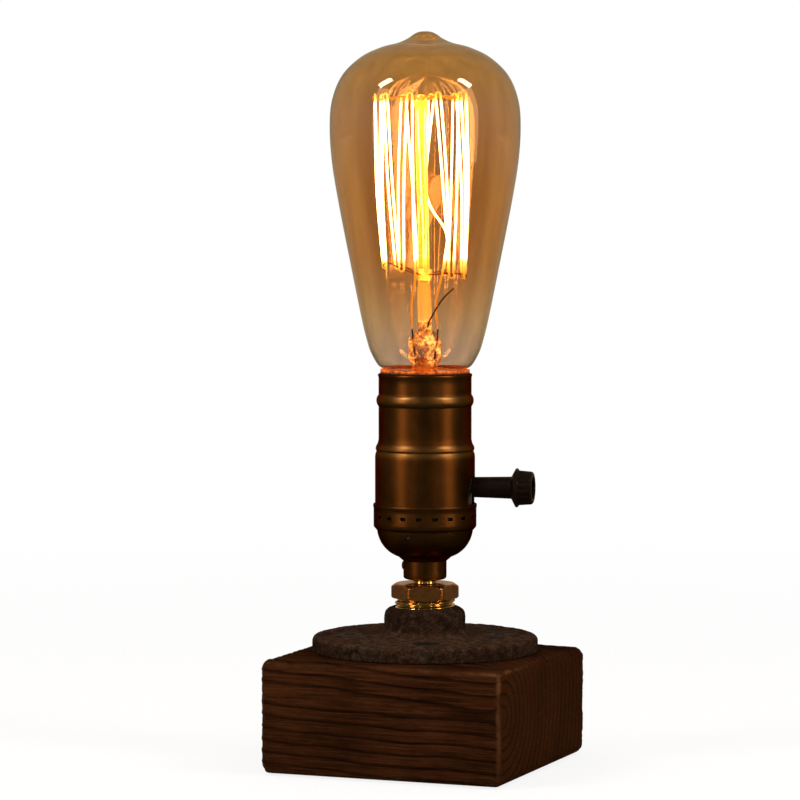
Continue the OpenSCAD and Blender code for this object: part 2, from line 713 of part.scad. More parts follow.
module support_wires() {
    color([0.45, 0.3, 0.2]) in_bulb() leaning() {
        upper_arms();
        lower_arms();
        for (k = [0:hook_count - 1]) let (a = hook_angle(k))
            wire(on_bulb(a, hook_ring_r + 0.4, filament_top - bend_r - 0.15),
                on_bulb(a, hook_ring_r + hook_reach, filament_top), support_r);
        for (k = [0:hook_count - 2]) let (a = hook_angle(k + 0.5))
            wire(on_bulb(a, low_ring_r + 0.4, low_z(a) + bend_r + 0.15),
                on_bulb(a, low_ring_r + hook_reach, low_z(a)), support_r);
    }
}

module anchor_wire() {
    color([0.4, 0.16, 0.08]) in_bulb() swept(concat([anchor_foot],
        curve([anchor_bend, [3.6, -3.2, 155], [6.4, -3.5, 159], [9.7, -4, 162.1]], 2)), anchor_r);
}

module leads(play = 0) {
    for (s = [-1, 1]) wire([s * lead_foot_x, 0, lead_low], [s * lead_x, 0, lead_top], lead_r + play);
}

module lead_wires() {
    color([0.35, 0.22, 0.15]) in_bulb() leads();
}

// the filament's bend over a hook: a half turn, upwards or downwards
function bend(a, r, z, up) = [for (t = [-90, -45, 0, 45, 90]) let (side = bend_r * sin(t))
    [r * cos(a) - side * sin(a), r * sin(a) + side * cos(a), z + up * bend_r * cos(t)]];

// middle of the strand from hook k to the next; the slack strand's second half sags
function strand_middle(k, half) = half == 1 && k == slack_strand
    ? [[8.1, 9, 180], [1.4, 13, 195]]
    : [on_bulb(hook_angle(k + (half == 0 ? 0.27 : 0.73)), (hook_ring_r + low_ring_r) / 2 + strand_swell,
        strand_mid_z)];

function filament_path() = concat(
    [[lead_x, 0, lead_top + 0.5], [3.9, -1.6, 157], [6, -9, 166.5], [8, -11.5, 178]],
    [for (k = [0:hook_count - 1]) each concat(
        bend(hook_angle(k), hook_ring_r, filament_top - bend_r, 1),
        k < hook_count - 1 ? let (a = hook_angle(k + 0.5)) concat(
            strand_middle(k, 0),
            bend(a, low_ring_r, low_z(a) + bend_r, -1),
            strand_middle(k, 1)) : [])],
    [[-3.3, -13, 185], [-3, -7, 167], [-4.4, -1.5, 157], [-lead_x, 0, lead_top + 0.5]]);

module filament() {
    color([1, 0.75, 0.25]) in_bulb() leaning() swept(filament_path(), filament_d / 2);
}

wood_block();
rubber_feet();
cord_bush();
floor_flange();
flange_screws();
brass_adapter();
socket_cap();
set_screw();
socket_shell();
insulating_sleeve();
socket_body();
screw_shell();
centre_contact();
terminal_screws();
contact_blade();
switch_shaft();
switch_rotor();
switch_knob();
bulb_screw_cap();
cap_insulator();
cap_contact();
basing_cement();
glass_envelope();
glass_mount();
mount_bead();
support_wires();
anchor_wire();
lead_wires();
filament();
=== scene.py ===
"""Looks of the bare bulb table lamp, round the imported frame: stained wood, cast iron, brass, amber glass and the lit
filament.

Lengths are millimetres, as in the part's source, and MM makes them metres. Heights of the socket and the bulb are
over the block's underside, which stands FOOT above the table.
"""

import math

import bmesh
import bpy
import numpy as np
from mathutils import Matrix
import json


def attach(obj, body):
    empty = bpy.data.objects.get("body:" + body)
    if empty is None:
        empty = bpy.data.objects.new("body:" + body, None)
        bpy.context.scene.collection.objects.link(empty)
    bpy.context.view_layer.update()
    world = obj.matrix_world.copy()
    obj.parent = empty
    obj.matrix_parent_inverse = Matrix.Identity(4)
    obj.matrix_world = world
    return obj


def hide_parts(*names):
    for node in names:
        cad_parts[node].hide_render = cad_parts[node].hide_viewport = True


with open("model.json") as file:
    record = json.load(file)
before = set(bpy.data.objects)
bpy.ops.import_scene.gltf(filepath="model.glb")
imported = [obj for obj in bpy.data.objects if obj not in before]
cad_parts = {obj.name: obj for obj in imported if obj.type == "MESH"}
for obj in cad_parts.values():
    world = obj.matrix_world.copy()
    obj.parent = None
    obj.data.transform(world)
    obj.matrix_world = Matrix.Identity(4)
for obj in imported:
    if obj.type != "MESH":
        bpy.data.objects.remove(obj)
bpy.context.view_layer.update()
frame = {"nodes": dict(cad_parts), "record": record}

MM = 0.001
FOOT = 0.6
BLOCK_TOP = FOOT + 38.5
BLOCK_SIDE = 86.5
BLOCK_BOX = np.array([BLOCK_SIDE, BLOCK_SIDE, BLOCK_TOP - FOOT])
BLOCK_ROUND = 3.0
BUSH_Z = FOOT + 15
CAGE_TURN = math.radians(21.5)
SOCKET_TURN = math.radians(10)

# heights over the block's top
FLANGE_RIM, FLANGE_T = 38.5, 5.3
BOSS_R, BOSS_H, BOSS_ROUND, BOSS_FILLET = 13.95, 15.1, 3.2, 2.8
PIPE_R, PIPE_DEPTH, PIPE_PITCH, PIPE_LOW = 10.25, 0.9, 1.814, 13.5
HEX_LOW, HEX_TOP, HEX_R, HEX_CORNER = 18.0, 23.1, 11.75, 1.6
SCREW_CIRCLE = 25.5

# heights over the block's underside
COLLAR_R, COLLAR_LOW, COLLAR_TOP, SHELL_LOW = 17.5, 81.1, 88.8, 81.6
LOWER_R, UPPER_R, BRASS_T = 17.0, 15.8, 0.55
SLOTS, SLOT_PHASE, SLOT_Z, SLOT_W, SLOT_H = 20, 4.1, 84.7, 2.1, 1.3
SHOULDER, BEAD_LOW, BEAD_H, SHELL_TOP = 105.0, 121.9, 4.0, 133.0
SLEEVE_R, SLEEVE_T, SLEEVE_TOP = UPPER_R - BRASS_T - 0.05, 0.5, 134.7
FLUTES, FLUTE_R, HEAD_FROM, KNOB_END, KNOB_Z = 16, 0.75, 32.5, 37.3, 94.6
GLASS_THICK = 0.55
HOOKS, FIRST_HOOK, TOP_RING, LOW_RING, BEND, CURL_R = 10, 292, 15.4, 14.1, 0.9, 0.62
FILAMENT_TOP, PRESS_TOP, ROD_TOP = 227.8, 146.0, 226.5
ROD_R, LOW_ROD_R, GLASS_BEAD_R, GLASS_BEAD_Z = 2.05, 2.3, 3.0, 166.6
CAGE_LEAN = math.radians(1.1)
THREAD_PITCH, THREAD_TURNS, THREAD_LOW = 3.629, 4.5, 113.0
THREAD_TOP = THREAD_LOW + THREAD_PITCH * THREAD_TURNS
CREST_R, ROOT_R, CAP_WALL, CAP_LOW, CAP_RIM = 13.1, 12.45, 0.3, 111.6, 132.4

# ---------------------------------------------------------------- camera

CAMERA_DISTANCE = 1283
CAMERA_HEIGHT = 204.4
CAMERA_AZIMUTH = math.radians(21.09)
CAMERA_YAW = math.radians(0.38)
CAMERA_PITCH = math.radians(3.56)
PIXELS_PER_RADIAN = 3785
PICTURE_WIDTH = 800


def make_camera():
    """Camera at the photograph's place: on a circle round the lamp's axis, looking a little down and aside."""
    data = bpy.data.cameras.new("camera")
    data.sensor_width = 36
    data.lens = data.sensor_width * PIXELS_PER_RADIAN / PICTURE_WIDTH
    data.clip_start, data.clip_end = 0.05, 20
    camera = bpy.data.objects.new("camera", data)
    way = (math.sin(CAMERA_AZIMUTH), -math.cos(CAMERA_AZIMUTH))
    camera.location = (CAMERA_DISTANCE * way[0] * MM, CAMERA_DISTANCE * way[1] * MM, CAMERA_HEIGHT * MM)
    camera.rotation_euler = (math.pi / 2 - CAMERA_PITCH, 0, CAMERA_AZIMUTH + CAMERA_YAW)
    bpy.context.scene.collection.objects.link(camera)
    bpy.context.scene.camera = camera


make_camera()

# ---------------------------------------------------------------- outlines and grids of points


def smooth_curve(points, steps):
    """Points of a curve through all the given points: between two of them it is a cubic of their two neighbours."""
    p = np.asarray(points, float)
    padded = np.vstack([p[:1], p, p[-1:]])
    a, b, c, d = (padded[i : i + len(p) - 1, None] for i in range(4))
    t = np.linspace(0, 1, steps, endpoint=False)[None, :, None]
    mid = 0.5 * (2 * b + (c - a) * t + (2 * a - 5 * b + 4 * c - d) * t**2 + (3 * b - a - 3 * c + d) * t**3)
    return np.vstack([mid.reshape(-1, p.shape[1]), p[-1:]])


def arc(x, y, r, start, end, steps=6, rise=None):
    """Points on a circle of radius r about (x, y), from one angle to the other in degrees. With rise it is an ellipse
    of that half height."""
    a = np.radians(np.linspace(start, end, steps + 1))
    return np.stack([x + r * np.cos(a), y + (rise or r) * np.sin(a)], 1)


def profile(*parts):
    """One outline of (radius, height) rows from points and arcs laid end to end."""
    return np.vstack([np.atleast_2d(np.asarray(p, float)) for p in parts])


def evenly(points, step):
    """The same line with its long stretches cut so that no stretch is longer than step."""
    p = np.asarray(points, float)
    out = [p[:1]]
    for a, b in zip(p[:-1], p[1:]):
        n = max(math.ceil(np.linalg.norm(b - a) / step), 1)
        out.append(a + (b - a) * (np.arange(1, n + 1) / n)[:, None])
    return np.vstack(out)


def direction(line):
    """Unit vectors along a line, point by point."""
    d = np.gradient(line, axis=0)
    return d / np.linalg.norm(d, axis=1, keepdims=True)


def inset(line, t):
    """The line moved inwards by t, square to its direction."""
    d = direction(line)
    q = line - t * np.stack([d[:, 1], -d[:, 0]], 1)
    q[:, 0] = np.maximum(q[:, 0], 0)
    return q


def around(columns):
    """Angles once round the axis."""
    return np.linspace(0, 2 * math.pi, columns, endpoint=False)


def round_grid(radius, height, columns):
    """Grid of points (r cos a, r sin a, z), from radii and heights that change by row, or by row and column."""
    a = around(columns)
    return np.stack(np.broadcast_arrays(radius * np.cos(a), radius * np.sin(a), height), -1)


def turned(outline, columns):
    """Surface of revolution: the outline's radius r at angle a is (r cos a, r sin a), at the outline's height."""
    p = np.asarray(outline, float)
    return round_grid(p[:, :1], p[:, 1:2], columns)


def off_axis(points):
    return np.hypot(points[..., 0], points[..., 1])


def turned_about_z(points, angle):
    p = np.asarray(points, float)
    c, s = math.cos(angle), math.sin(angle)
    return np.stack([p[..., 0] * c - p[..., 1] * s, p[..., 0] * s + p[..., 1] * c, p[..., 2]], -1)


def along_knob(points):
    """Turns a shape that stands on Z so that it lies along the knob's axis."""
    return turned_about_z(np.stack([points[..., 2], points[..., 1], FOOT + KNOB_Z - points[..., 0]], -1), SOCKET_TURN)


def ring_across(centres, radius, side, other, columns):
    """Rings of points round the centres, each in the plane of its two unit vectors."""
    a = around(columns)[:, None]
    return centres[:, None] + radius * (np.cos(a) * side[..., None, :] + np.sin(a) * other[..., None, :])


def swept(path, radius, columns=8):
    """Wire round a path: each ring lies across the path's direction, and starts on the side away from the axis."""
    d = direction(path)
    out = path * [1, 1, 0] + [1e-6, 0, 0]
    side = out - (out * d).sum(1, keepdims=True) * d
    side /= np.linalg.norm(side, axis=1, keepdims=True)
    return ring_across(path, radius, side, np.cross(d, side), columns)


def smoothstep(low, high, value):
    t = np.clip((value - low) / (high - low), 0, 1)
    return t * t * (3 - 2 * t)


def ripples(points, wavelength, seed, waves=16):
    """Smooth bumps from -1 to 1: the mean of sine waves of about one wavelength that run in all directions."""
    rng = np.random.default_rng(seed)
    ways = rng.normal(size=(waves, 3))
    lengths = np.linalg.norm(ways, axis=1, keepdims=True)
    ways *= (2 * math.pi / wavelength * rng.uniform(0.6, 1.5, (waves, 1))) / lengths
    phases = rng.uniform(0, 2 * math.pi, waves)
    total = sum(np.sin(points @ way + phase) for way, phase in zip(ways, phases))
    return total / math.sqrt(waves / 2) / 2


# ---------------------------------------------------------------- meshes


def mesh_of(grid, rows_meet=False, columns_meet=True, capped=False):
    """Points and faces of a grid of points [row, column, xyz]: quads between neighbours, and if capped a fan over each
    end row."""
    rows, columns = grid.shape[:2]
    i = np.arange(rows if rows_meet else rows - 1)[:, None]
    j = np.arange(columns if columns_meet else columns - 1)[None, :]
    k, m = (i + 1) % rows, (j + 1) % columns
    quads = np.stack(np.broadcast_arrays(i * columns + j, i * columns + m, k * columns + m, k * columns + j), -1)
    faces = quads.reshape(-1, 4).tolist()
    if capped:
        for ring in (list(range(columns))[::-1], list(range((rows - 1) * columns, rows * columns))):
            faces += [[ring[0], ring[n], ring[n + 1]] for n in range(1, columns - 1)]
    return grid.reshape(-1, 3), faces


def ring_mesh(grid):
    """A grid that is closed round its rows and its columns."""
    return mesh_of(grid, rows_meet=True)


def rod_mesh(grid):
    """A grid that is closed round its columns, with both ends capped."""
    return mesh_of(grid, capped=True)


def lathed(loop, columns, turn, step):
    """A closed outline of (radius, height over the block's underside) turned round the axis."""
    loop = evenly(np.vstack([loop, loop[:1]]), step)[:-1]
    return ring_mesh(turned_about_z(turned(loop, columns) + [0, 0, FOOT], turn))


def drill(centre, way, radius, length, columns=32):
    """Closed cylinder that starts at a point and runs a length along a level direction."""
    way = np.array([*way, 0.0])
    side = np.cross(way, [0, 0, 1])
    ends = np.asarray(centre, float) + np.outer([0, length], way)
    return rod_mesh(ring_across(ends, radius, side, np.cross(way, side), columns))


BOX_CORNERS = np.array([[x, y, z] for x in (-1, 1) for y in (-1, 1) for z in (-1, 1)], float)
BOX_FACES = [[0, 1, 3, 2], [4, 6, 7, 5], [0, 4, 5, 1], [2, 3, 7, 6], [0, 2, 6, 4], [1, 5, 7, 3]]


def box_at(centre, size, turn):
    """A box, turned about the lamp's axis after it is placed."""
    return turned_about_z(BOX_CORNERS * np.asarray(size) / 2 + centre, turn), BOX_FACES


def joined(parts):
    """Several point and face lists as one."""
    points, faces, first = [], [], 0
    for p, f in parts:
        points.append(p)
        faces += [[i + first for i in face] for face in f]
        first += len(p)
    return np.vstack(points), faces


def plain_object(name, points, faces):
    """Mesh object from points in millimetres, with its doubles merged and its faces outwards."""
    mesh = bpy.data.meshes.new(name)
    mesh.from_pydata((np.asarray(points) * MM).tolist(), [], faces)
    work = bmesh.new()
    work.from_mesh(mesh)
    bmesh.ops.remove_doubles(work, verts=work.verts, dist=2e-6)
    bmesh.ops.dissolve_degenerate(work, edges=work.edges, dist=1e-6)
    bmesh.ops.delete(work, geom=[e for e in work.edges if not e.link_faces], context="EDGES")
    bmesh.ops.recalc_face_normals(work, faces=work.faces)
    work.to_mesh(mesh)
    work.free()
    thing = bpy.data.objects.new(name, mesh)
    bpy.context.scene.collection.objects.link(thing)
    return thing


def dress(piece, slot):
    piece.data.materials.clear()
    piece.data.materials.append(MATERIALS[slot])


def make_piece(name, parts, body, node, slot, sharp_angle, cutters=()):
    """One piece from point and face lists, less each group of cutters in turn. It rides on a body, stands for a CAD
    node and wears a slot. Its shading is smooth but for edges sharper than the angle."""
    piece = plain_object(name, *joined(parts))
    for number, group in enumerate(cutters):
        tool = plain_object("%s_cutter_%d" % (name, number), *joined(group))
        cut = piece.modifiers.new("cut", "BOOLEAN")
        cut.object, cut.operation, cut.solver = tool, "DIFFERENCE", "EXACT"
        whole = piece.data
        piece.data = bpy.data.meshes.new_from_object(piece.evaluated_get(bpy.context.evaluated_depsgraph_get()))
        piece.modifiers.clear()
        bpy.data.objects.remove(tool)
        bpy.data.meshes.remove(whole)
        piece.data.name = name
    piece.data.polygons.foreach_set("use_smooth", np.ones(len(piece.data.polygons), bool))
    piece.data.set_sharp_from_angle(angle=math.radians(sharp_angle))
    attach(piece, body)
    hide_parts(node)
    dress(piece, slot)


# ---------------------------------------------------------------- shader building


class Nodes:
    """A shader tree, with a short method for each kind of node that is used. Places are Object coordinates."""

    def __init__(self, tree):
        self.tree = tree

    def put(self, kind, inputs=None, **settings):
        """Adds a node. An input given as a socket is linked, and any other value is set on the input itself."""
        node = self.tree.nodes.new(kind)
        for key, value in settings.items():
            setattr(node, key, value)
        for key, value in (inputs or {}).items():
            if isinstance(value, bpy.types.NodeSocket):
                self.tree.links.new(value, node.inputs[key])
            else:
                node.inputs[key].default_value = value
        return node

    def place(self, kind="Object"):
        """One output of the tree's Texture Coordinate node, which is added when it is first asked for."""
        node = next((n for n in self.tree.nodes if n.bl_idname == "ShaderNodeTexCoord"), None)
        return (node or self.tree.nodes.new("ShaderNodeTexCoord")).outputs[kind]

    def maths(self, operation, *values, clamp=False):
        return self.put("ShaderNodeMath", dict(enumerate(values)), operation=operation, use_clamp=clamp).outputs[0]

    def times(self, a, b):
        return self.maths("MULTIPLY", a, b)

    def vector(self, operation, *values):
        """A vector operation. Those that give a number give it at the output Value."""
        number = operation in ("LENGTH", "DISTANCE", "DOT_PRODUCT")
        node = self.put("ShaderNodeVectorMath", dict(enumerate(values)), operation=operation)
        return node.outputs["Value" if number else "Vector"]

    def split(self, vector):
        return self.put("ShaderNodeSeparateXYZ", {0: vector}).outputs

    def combined(self, x, y, z):
        return self.put("ShaderNodeCombineXYZ", {0: x, 1: y, 2: z}).outputs[0]

    def in_mm(self):
        return self.vector("MULTIPLY", self.place(), (1000, 1000, 1000))

    def height(self, over=0.0):
        """Millimetres over a level, which is given in millimetres too."""
        return self.maths("MULTIPLY_ADD", self.split(self.place())[2], 1000.0, -over)

    def off_level(self, level):
        """Millimetres above or below a level."""
        return self.maths("ABSOLUTE", self.height(level))

    def mapped(self, value, low=0.0, high=1.0, to_low=0.0, to_high=1.0, smooth=False):
        """The range from low to high moved to another range, and held at its ends."""
        numbers = {0: value, 1: low, 2: high, 3: to_low, 4: to_high}
        kind = "SMOOTHSTEP" if smooth else "LINEAR"
        return self.put("ShaderNodeMapRange", numbers, interpolation_type=kind).outputs[0]

    def between(self, low, high, mask):
        """A number that goes from low to high with a mask."""
        return self.mapped(mask, to_low=low, to_high=high)

    def noise(self, stretch, detail, roughness=0.5):
        """Fractal noise with so many cells per metre along x, y and z."""
        cells = self.vector("MULTIPLY", self.place(), stretch)
        inputs = {0: cells, "Scale": 1, "Detail": detail, "Roughness": roughness}
        return self.put("ShaderNodeTexNoise", inputs).outputs[0]

    def blend(self, factor, low, high, mode="MIX"):
        """Colour between low and high by a factor."""
        node = self.put("ShaderNodeMix", data_type="RGBA", blend_type=mode)
        for index, value in ((0, factor), (6, low), (7, high)):
            if isinstance(value, bpy.types.NodeSocket):
                self.tree.links.new(value, node.inputs[index])
            else:
                node.inputs[index].default_value = value if index == 0 else (*value, 1)
        return node.outputs[2]

    def over(self, colour, mask, share, top):
        """A share of another colour laid over a colour where the mask is."""
        return self.blend(self.times(mask, share), colour, top)

    def filtered(self, colour, by):
        return self.blend(1.0, colour, by, "MULTIPLY")

    def ramp(self, factor, stops):
        """Colour ramp from a list of (place, colour)."""
        node = self.put("ShaderNodeValToRGB", {0: factor})
        while len(node.color_ramp.elements) < len(stops):
            node.color_ramp.elements.new(0.5)
        for element, (place, colour) in zip(node.color_ramp.elements, stops):
            element.position = place
            element.color = (*colour, 1)
        return node.outputs[0]

    def bumped(self, height, distance, strength=1.0):
        """Normal of a surface whose height changes by distance in metres."""
        return self.put("ShaderNodeBump", {"Height": height, "Distance": distance, "Strength": strength}).outputs[0]

    def effect(self, name, *numbers):
        """One of the shared effects, with its own numbers in the order of the group's inputs."""
        node = self.put("ShaderNodeGroup", node_tree=EFFECTS[name])
        self.tree.links.new(self.place(), node.inputs[0])
        for socket, number in zip(list(node.inputs)[1:], numbers):
            socket.default_value = number
        return node.outputs[0]


class Finish(Nodes):
    """A material with one Principled shader, whose constant sockets are set directly."""

    def __init__(self, name, **constants):
        self.material = bpy.data.materials.new(name)
        self.material.use_nodes = True
        super().__init__(self.material.node_tree)
        self.shader = self.tree.nodes["Principled BSDF"]
        for key, value in constants.items():
            self.shader.inputs[key.replace("_", " ")].default_value = value

    def feed(self, **sockets):
        for key, value in sockets.items():
            self.tree.links.new(value, self.shader.inputs[key.replace("_", " ")])
        return self.material

    def shade_with(self, factor, other):
        """Mixes the Principled shader with another one before the output."""
        mix = self.put("ShaderNodeMixShader", {0: factor, 1: self.shader.outputs[0], 2: other.outputs[0]})
        self.tree.links.new(mix.outputs[0], self.tree.nodes["Material Output"].inputs[0])

    def let_lamps_through(self):
        """Light from lamps passes the glass in a straight line, tinted, instead of being left dark."""
        shadow = self.put("ShaderNodeLightPath").outputs["Is Shadow Ray"]
        self.shade_with(shadow, self.put("ShaderNodeBsdfTransparent", {0: (0.8, 0.66, 0.5, 1)}))


def shared_effect(name, numbers, output):
    """Empty node group that takes Vector and named numbers, and gives one number that changes over the surface."""
    group = bpy.data.node_groups.new(name, "ShaderNodeTree")
    group.interface.new_socket(name="Vector", in_out="INPUT", socket_type="NodeSocketVector")
    for label, value in numbers.items():
        socket = group.interface.new_socket(name=label, in_out="INPUT", socket_type="NodeSocketFloat")
        socket.default_value = value
    group.interface.new_socket(name=output, in_out="OUTPUT", socket_type="NodeSocketFloat")
    return Nodes(group), group.nodes.new("NodeGroupInput").outputs, group.nodes.new("NodeGroupOutput").inputs[0]


def mottle():
    """Cloudy mask from 0 to 1: fractal noise at Scale per metre, pulled apart by Contrast."""
    g, given, out = shared_effect("mottle", {"Scale": 100, "Contrast": 3, "Detail": 4}, "Mask")
    cells = {0: given["Vector"], "Scale": given["Scale"], "Detail": given["Detail"], "Roughness": 0.6}
    centred = g.maths("SUBTRACT", g.put("ShaderNodeTexNoise", cells).outputs[0], 0.5)
    g.tree.links.new(g.maths("MULTIPLY_ADD", centred, given["Contrast"], 0.5, clamp=True), out)
    return g.tree


def edge_wear():
    """Mask of the edges that hands and tools rub: where the bevelled normal leaves the true one, broken by noise."""
    g, given, out = shared_effect("edge_wear", {"Width": 0.0004, "Strength": 6, "Scale": 400}, "Mask")
    bevelled = g.put("ShaderNodeBevel", {"Radius": given["Width"]}, samples=6).outputs[0]
    true = g.put("ShaderNodeNewGeometry").outputs["Normal"]
    edge = g.maths("SUBTRACT", 1.0, g.vector("DOT_PRODUCT", bevelled, true))
    strong = g.maths("MULTIPLY", edge, given["Strength"], clamp=True)
    cells = {0: given["Vector"], "Scale": given["Scale"], "Detail": 5, "Roughness": 0.65}
    broken = g.mapped(g.put("ShaderNodeTexNoise", cells).outputs[0], 0.35, 0.65)
    g.tree.links.new(g.maths("MULTIPLY", strong, broken, clamp=True), out)
    return g.tree


def turning_lines():
    """Fine lines round the lamp's axis, as a lathe or a polishing wheel leaves: noise that changes fast with height
    and with distance from the axis, and slowly round it."""
    g, given, out = shared_effect("turning_lines", {"Lines per mm": 4}, "Height")
    x, y, z = g.split(given["Vector"])
    away = g.vector("LENGTH", g.vector("MULTIPLY", given["Vector"], (1, 1, 0)))
    fast = g.times(g.maths("ADD", z, away), g.times(given["Lines per mm"], 1000.0))
    cells = {0: g.combined(g.times(x, 60.0), g.times(y, 60.0), fast), "Scale": 1, "Detail": 2}
    g.tree.links.new(g.put("ShaderNodeTexNoise", cells).outputs[0], out)
    return g.tree


EFFECTS = {"mottle": mottle(), "edge_wear": edge_wear(), "turning_lines": turning_lines()}

# ---------------------------------------------------------------- wood

# waves that bend the growth rings: (per mm along x, y, z, phase, amplitude in mm)
RING_WAVES = [
    (0.045, 0.020, 0.060, 0.4, 0.45),
    (0.085, -0.050, 0.035, 2.1, 0.35),
    (0.030, 0.120, 0.090, 4.0, 0.35),
    (0.160, 0.060, -0.110, 1.2, 0.22),
    (0.020, 0.260, 0.310, 0.7, 0.12),
    (0.310, 0.090, 0.140, 3.3, 0.10),
]
PITH_Y, PITH_Z = -41.2, FOOT + 25.45
PITH_SLOPE_Y, PITH_SLOPE_Z = 0.023, -0.057
RING_STEP = 3.85
RING_PHASE = -0.184
LATE_WOOD = (0.6, 0.92)


def ring_place(points):
    """How many growth rings lie between the pith and each point: the distance from a slanted line along X, plus
    waves, over the ring's width."""
    x, y, z = points[..., 0], points[..., 1], points[..., 2]
    d = np.hypot(y - PITH_Y - PITH_SLOPE_Y * x, z - PITH_Z - PITH_SLOPE_Z * x)
    for kx, ky, kz, phase, amplitude in RING_WAVES:
        d = d + amplitude * np.sin(kx * x + ky * y + kz * z + phase)
    return d / RING_STEP + RING_PHASE


def ring_nodes(f, mm):
    """The same formula as ring_place, from nodes."""
    x, y, z = f.split(mm)
    dy = f.maths("SUBTRACT", f.maths("MULTIPLY_ADD", x, -PITH_SLOPE_Y, y), PITH_Y)
    dz = f.maths("SUBTRACT", f.maths("MULTIPLY_ADD", x, -PITH_SLOPE_Z, z), PITH_Z)
    d = f.vector("LENGTH", f.combined(dy, dz, 0.0))
    for kx, ky, kz, phase, amplitude in RING_WAVES:
        along = f.vector("DOT_PRODUCT", mm, (kx, ky, kz))
        d = f.maths("MULTIPLY_ADD", f.maths("SINE", f.maths("ADD", along, phase)), amplitude, d)
    return f.maths("MULTIPLY_ADD", d, 1 / RING_STEP, RING_PHASE)


def rounded_edge(f, mm):
    """Mask of the block's rounded edges: how far a point lies outside a smaller box along two axes at once."""
    size = f.vector("ABSOLUTE", f.vector("SUBTRACT", mm, (0, 0, (FOOT + BLOCK_TOP) / 2)))
    x, y, z = f.split(f.vector("SUBTRACT", size, tuple(BLOCK_BOX / 2 - 3.2)))
    lesser = f.maths("MINIMUM", f.maths("MAXIMUM", x, y), z)
    second = f.maths("MAXIMUM", f.maths("MINIMUM", x, y), lesser)
    return f.mapped(second, 0.9, 2.1, smooth=True)


def stained_wood():
    """Dark stained softwood: growth rings, fibres along X, an end grain where the rings show less, and rubbed edges,
    most of all at the front corner."""
    f = Finish("stained_wood", Specular_IOR_Level=0.0)
    mm = f.in_mm()
    part = f.maths("FRACT", ring_nodes(f, mm))
    late = f.times(f.mapped(part, *LATE_WOOD, smooth=True), f.mapped(part, 1.0, 0.95))
    dark = f.times(late, f.between(0.6, 1.0, f.effect("mottle", 60, 3)))
    end_grain = f.mapped(f.maths("ABSOLUTE", f.split(f.place("Normal"))[0]), 0.6, 0.9)
    fibre = f.noise((50, 1600, 1600), 6, 0.75)
    early = f.blend(f.effect("mottle", 45, 2.4), (0.016, 0.0055, 0.0019), (0.038, 0.0125, 0.0044))
    early = f.over(early, f.mapped(fibre, 0.52, 0.68), 0.6, (0.064, 0.022, 0.0085))
    early = f.over(early, f.mapped(fibre, 0.5, 0.36), 0.75, (0.0055, 0.0024, 0.0010))
    colour = f.over(early, dark, f.between(0.95, 0.85, end_grain), (0.0040, 0.0018, 0.0008))
    colour = f.over(colour, end_grain, 0.3, (0.019, 0.0074, 0.0021))
    corner = f.vector("DISTANCE", mm, (BLOCK_SIDE / 2, -BLOCK_SIDE / 2, BLOCK_TOP))
    rubbed = f.times(rounded_edge(f, mm), f.effect("mottle", 110, 5))
    colour = f.over(colour, rubbed, f.mapped(corner, 12, 34, 0.75, 0.15), (0.11, 0.047, 0.018))
    return f.feed(Base_Color=colour, Roughness=f.between(0.6, 0.85, fibre),
                  Normal=f.bumped(f.maths("MULTIPLY_ADD", dark, -0.5, fibre), 0.00045, 0.9))


# ---------------------------------------------------------------- iron and brass


def cast_iron():
    """Cast iron with a brown-black finish: rough as it left the sand, with a painted shade that darkens the boss and
    the rim below its top, and with rust and rubbed edges."""
    f = Finish("cast_iron", Metallic=0.3, Specular_IOR_Level=0.0, Specular_Tint=(0.10, 0.07, 0.05, 1))
    coarse, fine = f.effect("mottle", 420, 3.2), f.effect("mottle", 1400, 4.5)
    colour = f.blend(coarse, (0.026, 0.0155, 0.0104), (0.128, 0.076, 0.047))
    colour = f.over(colour, f.effect("mottle", 75, 5), 0.35, (0.095, 0.033, 0.018))
    colour = f.over(colour, fine, 0.55, (0.009, 0.0052, 0.0036))
    height = f.height(BLOCK_TOP)
    # painted shade: the boss and the rim's side, which face aside, are darker than the lit top of the plate
    boss, rim = f.mapped(height, FLANGE_T + 0.9, FLANGE_T + 3.2), f.mapped(height, FLANGE_T - 0.1, FLANGE_T - 1.1)
    colour = f.over(colour, f.maths("MAXIMUM", boss, rim), 0.45, (0.0060, 0.0034, 0.0022))
    colour = f.over(colour, f.effect("edge_wear", 0.0012, 3, 300), 0.6, (0.13, 0.09, 0.065))
    return f.feed(Base_Color=colour, Roughness=f.between(0.62, 0.42, coarse),
                  Normal=f.bumped(f.maths("MULTIPLY_ADD", coarse, 0.7, fine), 0.00050))


def antique_brass():
    """Sheet brass darkened by a stain: brown-black with the metal showing through in a haze, and a painted highlight
    that makes the rolls of the shell paler."""
    f = Finish("antique_brass", Metallic=1.0, Specular_Tint=(0.35, 0.2, 0.1, 1))
    haze, specks = f.effect("mottle", 90, 2.2), f.effect("mottle", 2600, 3.5, 2)
    colour = f.blend(haze, (0.088, 0.0330, 0.0080), (0.146, 0.0555, 0.0132))
    colour = f.over(colour, specks, 0.25, (0.06, 0.020, 0.005))
    # painted highlight: paler colour on the shoulder and the bead, for the light that these rolls catch
    off_rolls = f.maths("MINIMUM", *(f.off_level(FOOT + roll) for roll in (SHOULDER + 2, BEAD_LOW + 2.5)))
    colour = f.over(colour, f.mapped(off_rolls, 2.6, 1.0), 0.45, (0.30, 0.145, 0.045))
    colour = f.over(colour, f.effect("edge_wear", 0.0003, 5, 500), 0.7, (0.60, 0.32, 0.11))
    lines = f.maths("MULTIPLY_ADD", specks, 0.3, f.effect("turning_lines", 3))
    return f.feed(Base_Color=colour, Roughness=f.between(0.31, 0.40, haze),
                  Normal=f.bumped(lines, 0.00001, 0.6))


